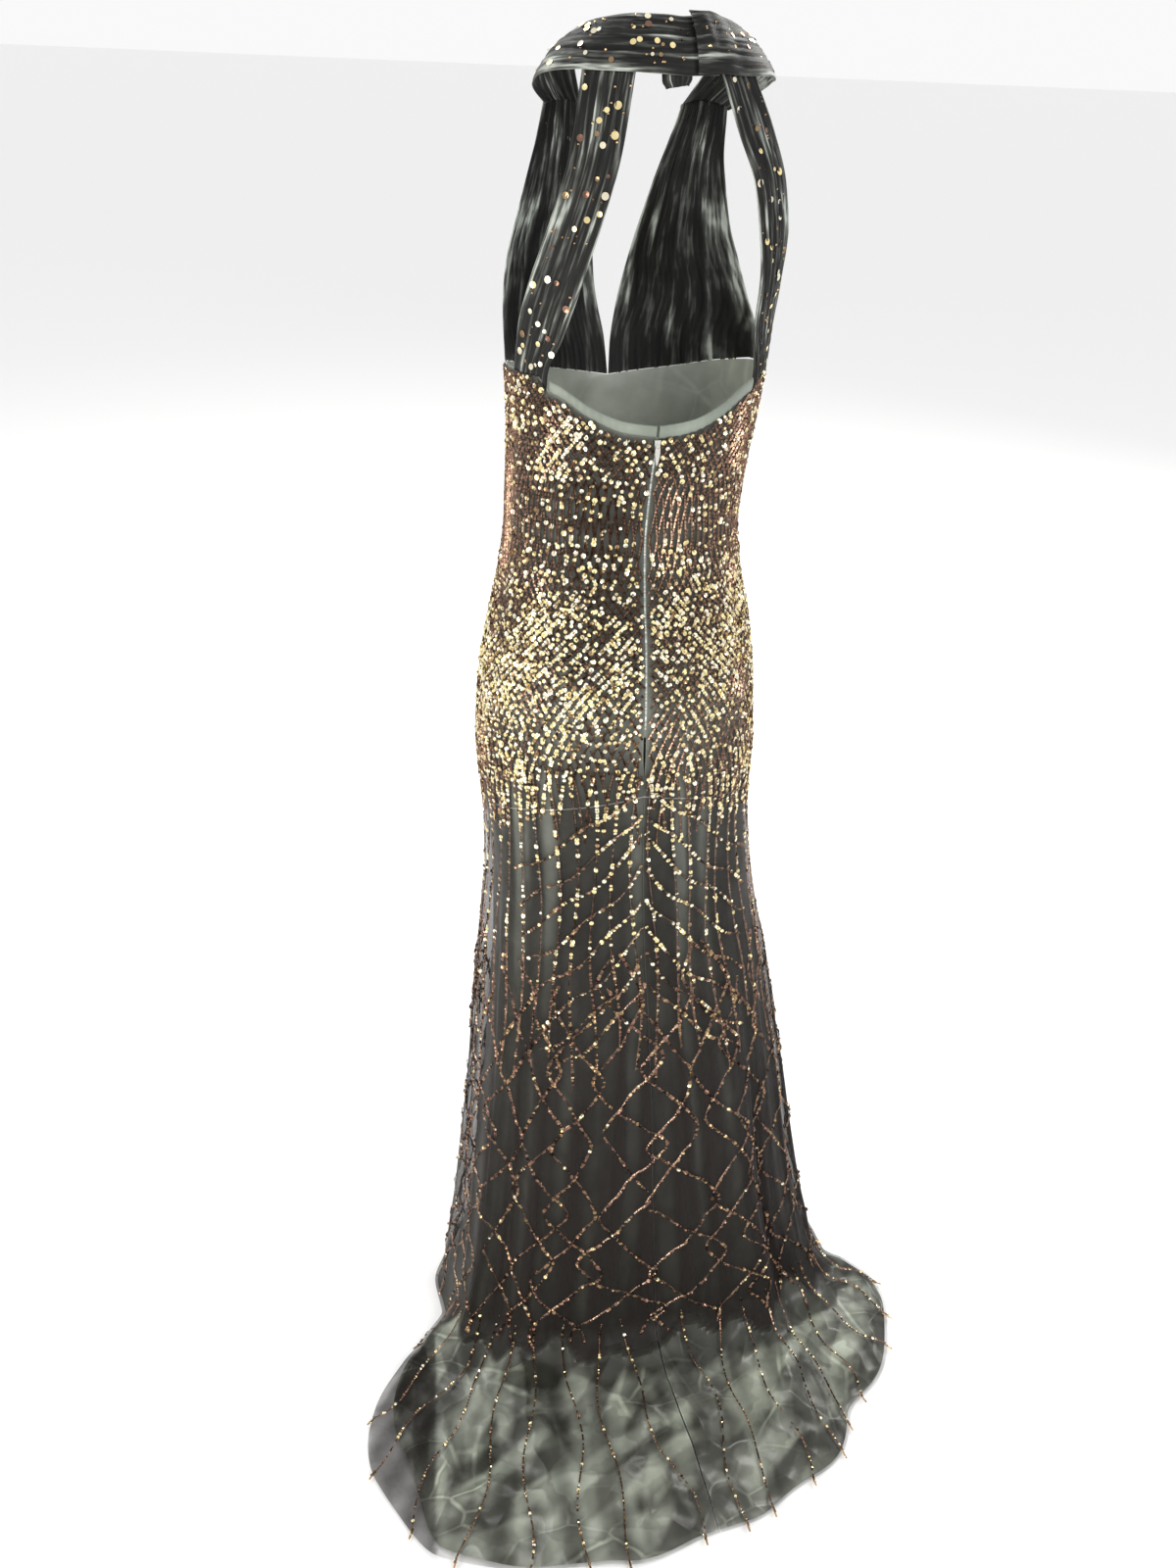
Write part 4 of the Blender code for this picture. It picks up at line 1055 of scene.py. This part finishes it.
def pleats(across, along, seed, count):
    """Soft gathers along a band: uneven ridges that wander and fade."""
    wander = 0.035 * np.sin(along * 3.1 + seed) + 0.02 * np.sin(along * 7.7 + 2.0 * seed)
    a = (across + wander) * count * 2.0 * math.pi
    deep = 0.65 + 0.35 * np.sin(along * 5.0 + across * 9.0 + seed)
    ridge = np.abs(np.sin(a / 2.0 + 0.7 * np.sin(a / 5.0 + seed))) ** 0.7 - 0.55
    return deep * ridge + 0.35 * np.sin(a * 1.9 + seed * 3.0 + along * 2.0)


def thicken(piece, thickness, offset):
    made = piece.modifiers.new("thickness", "SOLIDIFY")
    made.thickness, made.offset = thickness, offset


def band_piece(node_name, points, facing, seed, count, depth, lift=0.0):
    """Gathered band with rolled edges over a grid of points (rows run along
    it, columns across)."""
    rows, cols = points.shape[:2]
    across = np.broadcast_to(np.linspace(0.0, 1.0, cols), (rows, cols))
    lengths = np.linalg.norm(np.diff(points[:, cols // 2], axis=0), axis=1)
    run = np.concatenate([[0.0], np.cumsum(lengths)]) * 10.0
    along = np.broadcast_to(run[:, None], (rows, cols))
    normal = grid_normals(points, facing)
    ridge = pleats(across, along, seed, count)
    roll = 1.0 - np.abs(2.0 * across - 1.0) ** 8
    out = points + normal * (depth * ridge * roll - 0.0014 * (1.0 - roll) + lift)[..., None]
    piece = new_piece("gown_" + node_name, out, grid_faces(rows, cols), TULLE)
    # painted light and shade on the pleats: tops and rolled edges paler, hollows darker
    paint(piece, "ridge", 0.100 * ridge + 0.14 * (1.0 - roll))
    lay_map(piece, across, along)
    thicken(piece, 0.0012, -1.0)
    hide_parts(node_name)
    return piece, out, normal


DISC_EDGE, DISC_TILT = 0.08, 0.10


def pick(points, normal, number):
    """Random places on a band, clear of its edges."""
    rows, cols = points.shape[:2]
    i = (RNG.uniform(0.02, 0.98, number) * (rows - 1)).astype(int)
    j = (RNG.uniform(DISC_EDGE, 1.0 - DISC_EDGE, number) * (cols - 1)).astype(int)
    return points[i, j], normal[i, j]


def scatter(store, points, normal, number, radius):
    """Loose round sequins and a few beads on a band."""
    at, up = pick(points, normal, number)
    along = np.broadcast_to(np.array([0.0, 0.0, 1.0]), at.shape)
    tipped = unit(up + RNG.normal(0.0, DISC_TILT, at.shape))
    first = unit(np.cross(tipped, along + 0.01))
    second = np.cross(tipped, first)
    size = (radius * RNG.uniform(0.55, 1.15, number))[:, None]
    shape, faces = fan(at + tipped * 0.0014, tipped, first, second, size, 12, 0.0, size * 0.10)
    store.add(shape, faces, TONES[RNG.choice(5, number, p=DISC_MIX)] * RNG.uniform(0.8, 1.1, (number, 1)))
    at, up = pick(points, normal, number)
    store.seeds(at + up * 0.0008, up, unit(np.cross(up, along + 0.3)), 0.0019, 0.0018, BRONZE)


def make_collar(discs):
    made = {}
    share = np.linspace(0.0, 1.0, 40)
    for name, side, first in (("collar_left", 1.0, -0.72), ("collar_right", -1.0, 0.24)):
        station = np.linspace(first, 5.0, 150)
        s, c = np.meshgrid(station, share, indexing="ij")
        points = collar_point(s, c, side)
        if name == "collar_right":
            # the right end lies over the left one and is drawn in to a crease
            lift = 0.0034 * (1.0 - step((s - 0.80) / 0.55))
            lift = lift + 0.003 * np.exp(-((s - 0.50) / 0.16) ** 2) * np.sin(np.pi * c)
        else:
            lift = -0.0012 * np.exp(-((s + 0.1) / 0.25) ** 2)
        facing = (side, 0.0, 0.6)
        points = points + grid_normals(points, facing) * lift[..., None]
        piece, out, normal = band_piece(name, points, facing, 1.0 + side, 9.0, 0.0015)
        scatter(discs, out, normal, 40, 0.0026)
        made[name] = (piece, area_of(points))
    return made


def collar_edge_height(x):
    """Height of the collar's lower edge over the back, where straps end."""
    station = np.linspace(0.0, 2.6, 400)
    edge = collar_point(station, np.ones_like(station), 1.0)
    return np.interp(np.abs(x), edge[:, 0], edge[:, 2] + HOLD)


def make_straps(discs):
    made = {}
    rows = (("strap_left", 1.0, STRAP_LEFT, 3.0), ("strap_right", -1.0, STRAP_RIGHT, 5.0))
    for name, side, table, seed in rows:
        inner = curve(STRAP_COLUMNS, table, "height", "inner")
        outer = curve(STRAP_COLUMNS, table, "height", "outer")
        t, c = np.meshgrid(np.linspace(0.0, 1.0, 130), np.linspace(0.0, 1.0, 36), indexing="ij")
        low = 1.232 + 0.012 * step(c / 0.25)
        top = collar_edge_height(inner(1.49) * (1 - c) + outer(1.49) * c) + 0.004
        high = low + (top - low) * t
        x = inner(high) * (1.0 - c) + outer(high) * c
        points = torso(side * x, high, False)
        facing = (side * 0.3, 1.0, 0.0)
        piece, out, normal = band_piece(name, points, facing, seed, 7.0, 0.0014, -0.0004)
        scatter(discs, out, normal, 34, 0.0029)
        made[name] = (piece, area_of(points))
    return made


def make_halters(discs):
    made = {}
    inner = curve(FRONT_COLUMNS, FRONT, "height", "inner")
    outer = curve(FRONT_COLUMNS, FRONT, "height", "outer")
    for name, side, seed in (("halter_left", 1.0, 7.0), ("halter_right", -1.0, 9.0)):
        t, c = np.meshgrid(np.linspace(0.0, 1.0, 120), np.linspace(0.0, 1.0, 70), indexing="ij")
        at = FRONT[0][0] + (FRONT[-1][0] - FRONT[0][0]) * t
        x0 = inner(at) * (1 - c) + outer(at) * c
        turn = 180.0 - np.degrees(np.arcsin(np.minimum(1.0, x0 / SECTION["half_width"](1.23))))
        low = TOP_AT(turn) + 0.0006
        high = low * (1.0 - t) + (np.maximum(at, low) + 0.003 + 0.0036 * np.sin(np.pi * c)) * t
        x = inner(high) * (1.0 - c) + outer(high) * c
        points = torso(side * x, high, True)
        piece, out, normal = band_piece(name, points, (side * 0.3, -1.0, 0.0), seed, 12.0, 0.0015)
        scatter(discs, out, normal, 150, 0.0024)
        made[name] = (piece, area_of(points))
    return made


def make_tab():
    """End of the collar's band, which shows below its lower edge."""
    t, c = np.meshgrid(np.linspace(0.0, 1.0, 24), np.linspace(0.0, 1.0, 30), indexing="ij")
    high = 1.500 - 0.0215 * t + 0.003 * (1.0 - c) * step((t - 0.4) / 0.3)
    wide = 0.0120 - 0.0030 * step((t - 0.75) / 0.25)
    x = 0.005 + wide * (2.0 * c - 1.0)
    away = 0.088 + (1.489 - high) * 0.35
    points = np.stack([x, np.sqrt(away ** 2 - x ** 2) - 0.0041, high - HOLD], -1)
    piece = band_piece("collar_tab", points, (0.0, 1.0, 0.0), 2.0, 2.0, 0.0006)[0]
    return piece, area_of(points)


def make_bindings():
    made = {}
    for name, side in (("binding_left", 1.0), ("binding_right", -1.0)):
        angle = np.linspace(0.0, BOUND_END, 70)
        t = np.linspace(0.0, 1.0, 10)[:, None]
        fall = TOP_AT(angle)[None] - BINDING * t
        angles = np.broadcast_to(angle, fall.shape).copy()
        angles[:, 0] += np.degrees(ZIP_HALF / 0.12)
        angles = angles * side
        base, (normal, _, _) = form(angles, fall), outward(angles, fall)
        roll = np.abs(2.0 * t - 1.0) ** 4
        points = base + normal * (-0.0003 - 0.0008 * roll + 0.0002 * np.sin(angles * 1.7))[..., None]
        piece = new_piece("gown_" + name, points, grid_faces(*fall.shape), BOUND_SILK)
        # painted highlight and shade: the rolled binding is paler along its raised middle and darker at its
        # turned edges
        paint(piece, "tone", np.broadcast_to(0.55 + 0.25 * np.sin(np.pi * t), fall.shape))
        thicken(piece, 0.0014, 1.0)
        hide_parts(name)
        made[name] = (piece, area_of(points))
    return made


# ----------------------------------------------------------------------- zip
def make_zip():
    """Woven tape with the closed coil down its middle."""
    high = np.linspace(1.1965, ZIP_END - 0.010, 160)
    across = np.array([-0.010, -0.006, -0.0016, -0.0009, 0.0009, 0.0016, 0.006, 0.010])
    raise_by = np.array([-0.0038, -0.0036, -0.0034, -0.0030, -0.0030, -0.0034, -0.0036, -0.0038])
    middle, (normal, _, _) = form(np.zeros_like(high), high), outward(np.zeros_like(high), high)
    points = middle[:, None] + normal[:, None] * raise_by[None, :, None]
    points[..., 0] += across[None]
    tape = new_piece("gown_zip_tape", points, grid_faces(len(high), len(across)), TAPE)
    thicken(tape, 0.0008, 1.0)
    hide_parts("zip_tape")
    coil = Sowing("gown_zip_coil")
    at = np.arange(ZIP_END, 1.186, 0.0011)
    place, (up, _, down) = form(np.zeros_like(at), at), outward(np.zeros_like(at), at)
    sides = np.zeros_like(place)
    sides[:, 0] = 1.0
    coil.seeds(place - up * 0.0016, up, sides, 0.0020, 0.0011, (0.42, 0.44, 0.40))
    piece = coil.make(COIL)
    return tape, piece, area_of(points)


def seam_lines():
    """Pale chevron seam of the lining, as a fine raised line of stitches."""
    store = Sowing("gown_seam_stitches")
    angle = np.linspace(-179.0, 179.0, 1300)
    fall = JOIN_AT(np.abs(angle))
    normal, over, down = outward(angle, fall)
    at = lining_points(angle, fall) + normal * 0.0006
    store.seeds(at, normal, over, 0.0018, 0.0011, (0.60, 0.60, 0.52))
    return store.make(COIL)


# ------------------------------------------------------------ build the gown
discs = Sowing("sequins_halter")
collar, straps, halters = make_collar(discs), make_straps(discs), make_halters(discs)
discs.make(DISC)
tab, tab_area = make_tab()
bindings = make_bindings()
tape, coil, tape_area = make_zip()
seam_lines()

bodice_sequins = dict(bodice_beads())
skirt_store = skirt_beads()
train_beads(skirt_store)
skirt_sequins = {panel: sowing.make() for panel, sowing in skirt_store.items()}

# Rectangle that each cloth is cut from, in metres, and the flat cloth taken
# for each square metre built.  The fullness of gathered bands is an assumption.
CUT_COLUMNS = ("width", "length", "fullness", "held")
CUTS = {
    "net_back": (0.62, 1.56, 0.97, "hung"),
    "net_front": (0.62, 1.24, 0.97, "hung"),
    "bodice_lining_back": (0.24, 0.42, 0.98, "hung"),
    "bodice_lining_front": (0.46, 0.45, 0.98, "hung"),
    "skirt_lining_back": (0.62, 1.12, 0.98, "hung"),
    "skirt_lining_front": (0.62, 0.84, 0.98, "hung"),
    "collar_left": (0.066, 0.270, 1.30, "gathered"),
    "collar_right": (0.066, 0.225, 1.30, "gathered"),
    "strap": (0.060, 0.280, 1.25, "gathered"),
    "halter": (0.240, 0.280, 1.25, "gathered"),
    "tab": (0.028, 0.028, 1.10, "folded"),
    "binding": (0.012, 0.125, 1.02, "folded"),
    "zip_tape": (0.020, 0.300, 1.00, "stretched"),
}


HANGS_FROM = {
    "back_left": ["gown_strap_left", "gown_halter_left"],
    "back_right": ["gown_strap_right", "gown_halter_right"],
    "front": ["gown_halter_left", "gown_halter_right"],
}


def declare(piece, cut, area, rests_on):
    """Look up the cut of a sheet and the list of pieces it rests on; it
    doesn't test the area against the cut.  State a sheet.  Its flat area
    comes from the area built, so this gives the size of what was made and
    doesn't test it against a cut."""
    width, length, fullness, held = CUTS[cut]
    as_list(rests_on)


for panel, piece, area in make_nets():
    below = ["gown_bodice_lining_" + panel, "gown_skirt_lining_" + panel]
    declare(piece, "net_" + panel.split("_")[0], area, below)
for kind, panel, piece, area in make_linings():
    above = HANGS_FROM[panel] if kind == "bodice" else ["gown_bodice_lining_" + panel]
    declare(piece, kind + "_lining_" + panel.split("_")[0], area, above)
for side in ("left", "right"):
    band, band_area = collar["collar_" + side]
    declare(band, "collar_" + side, band_area, ["gown_collar_left"] if side == "right" else [])
    band, band_area = straps["strap_" + side]
    declare(band, "strap", band_area, ["gown_collar_" + side])
    band, band_area = halters["halter_" + side]
    declare(band, "halter", band_area, ["gown_collar_" + side])
    band, band_area = bindings["binding_" + side]
    declare(band, "binding", band_area, ["gown_bodice_lining_back_" + side])
declare(tab, "tab", tab_area, ["gown_collar_left"])
beside_zip = ["gown_bodice_lining_back_left", "gown_bodice_lining_back_right"]
declare(tape, "zip_tape", tape_area, beside_zip)

for name in ("zip_slider", "zip_pull"):
    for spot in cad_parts[name].material_slots:
        spot.material = METAL


# --------------------------------------------------- floor, light and camera
FLOOR_HALF = 60.0


def make_stage():
    """Plain pale floor at the height that the hem rests on."""
    floor_mat = new_material("pale floor", (0.90, 0.90, 0.90), 0.6)
    mesh = bpy.data.meshes.new("floor")
    corners = ((-1, -1), (1, -1), (1, 1), (-1, 1))
    mesh.from_pydata([(x * FLOOR_HALF, y * FLOOR_HALF, -HOLD) for x, y in corners], [], [(0, 1, 2, 3)])
    mesh.materials.append(floor_mat)
    floor = bpy.data.objects.new("floor", mesh)
    bpy.context.scene.collection.objects.link(floor)


def light(name, place, aim, size, power, colour=(1.0, 1.0, 1.0)):
    """Softbox; it lights and shows in the sequins, but not in the view."""
    data = bpy.data.lights.new(name, "AREA")
    data.shape, data.energy, data.color = "RECTANGLE", power, colour
    data.size, data.size_y = size
    lamp = bpy.data.objects.new(name, data)
    lamp.location = place
    lamp.rotation_euler = (Vector(aim) - Vector(place)).to_track_quat("-Z", "Y").to_euler()
    lamp.visible_camera = False
    bpy.context.scene.collection.objects.link(lamp)


def make_light():
    """Pale surroundings and four softboxes."""
    world = bpy.data.worlds.new("studio")
    world.use_nodes = True
    world.node_tree.nodes["Background"].inputs["Color"].default_value = (0.95, 0.95, 0.95, 1.0)
    bpy.context.scene.world = world
    light("key", (2.5, 1.7, -0.5), (0.0, 0.1, -0.7), (0.9, 1.9), 48.0, (1.0, 0.96, 0.88))
    light("rim", (-2.8, -2.2, 1.5), (0.0, 0.0, -0.7), (0.9, 1.9), 80.0, (1.0, 0.98, 0.94))
    light("behind", (-0.9, 2.7, 0.9), (0.0, 0.1, -0.5), (0.6, 0.9), 26.0)
    light("front", (1.0, -2.6, 2.0), (0.0, 0.0, -0.6), (1.6, 1.6), 50.0)
    bpy.context.scene.view_settings.view_transform = "Standard"


CAMERA = {
    "azimuth": 16.7, "away": 1.32, "height": 1.52, "down": 28.9, "yaw": -1.14, "roll": 2.8, "lens": 31.5,
}


def make_camera():
    """Behind the wearer and to the left, a little above the collar."""
    a = math.radians(CAMERA["azimuth"])
    head = a + math.pi + math.radians(CAMERA["yaw"])
    down, roll = math.radians(CAMERA["down"]), math.radians(CAMERA["roll"])
    ahead = Vector((math.sin(head) * math.cos(down), math.cos(head) * math.cos(down), -math.sin(down)))
    right = ahead.cross(Vector((0.0, 0.0, 1.0))).normalized()
    up = right.cross(ahead)
    tilted_right = right * math.cos(roll) + up * math.sin(roll)
    tilted_up = up * math.cos(roll) - right * math.sin(roll)
    data = bpy.data.cameras.new("camera")
    data.lens, data.sensor_width = CAMERA["lens"], 36.0
    camera = bpy.data.objects.new("camera", data)
    turn = Matrix((tilted_right, tilted_up, -ahead)).transposed()
    camera.matrix_world = Matrix.Translation((
        math.sin(a) * CAMERA["away"], math.cos(a) * CAMERA["away"], CAMERA["height"] - HOLD
    )) @ turn.to_4x4()
    bpy.context.scene.collection.objects.link(camera)
    bpy.context.scene.camera = camera


make_stage()
make_light()
make_camera()
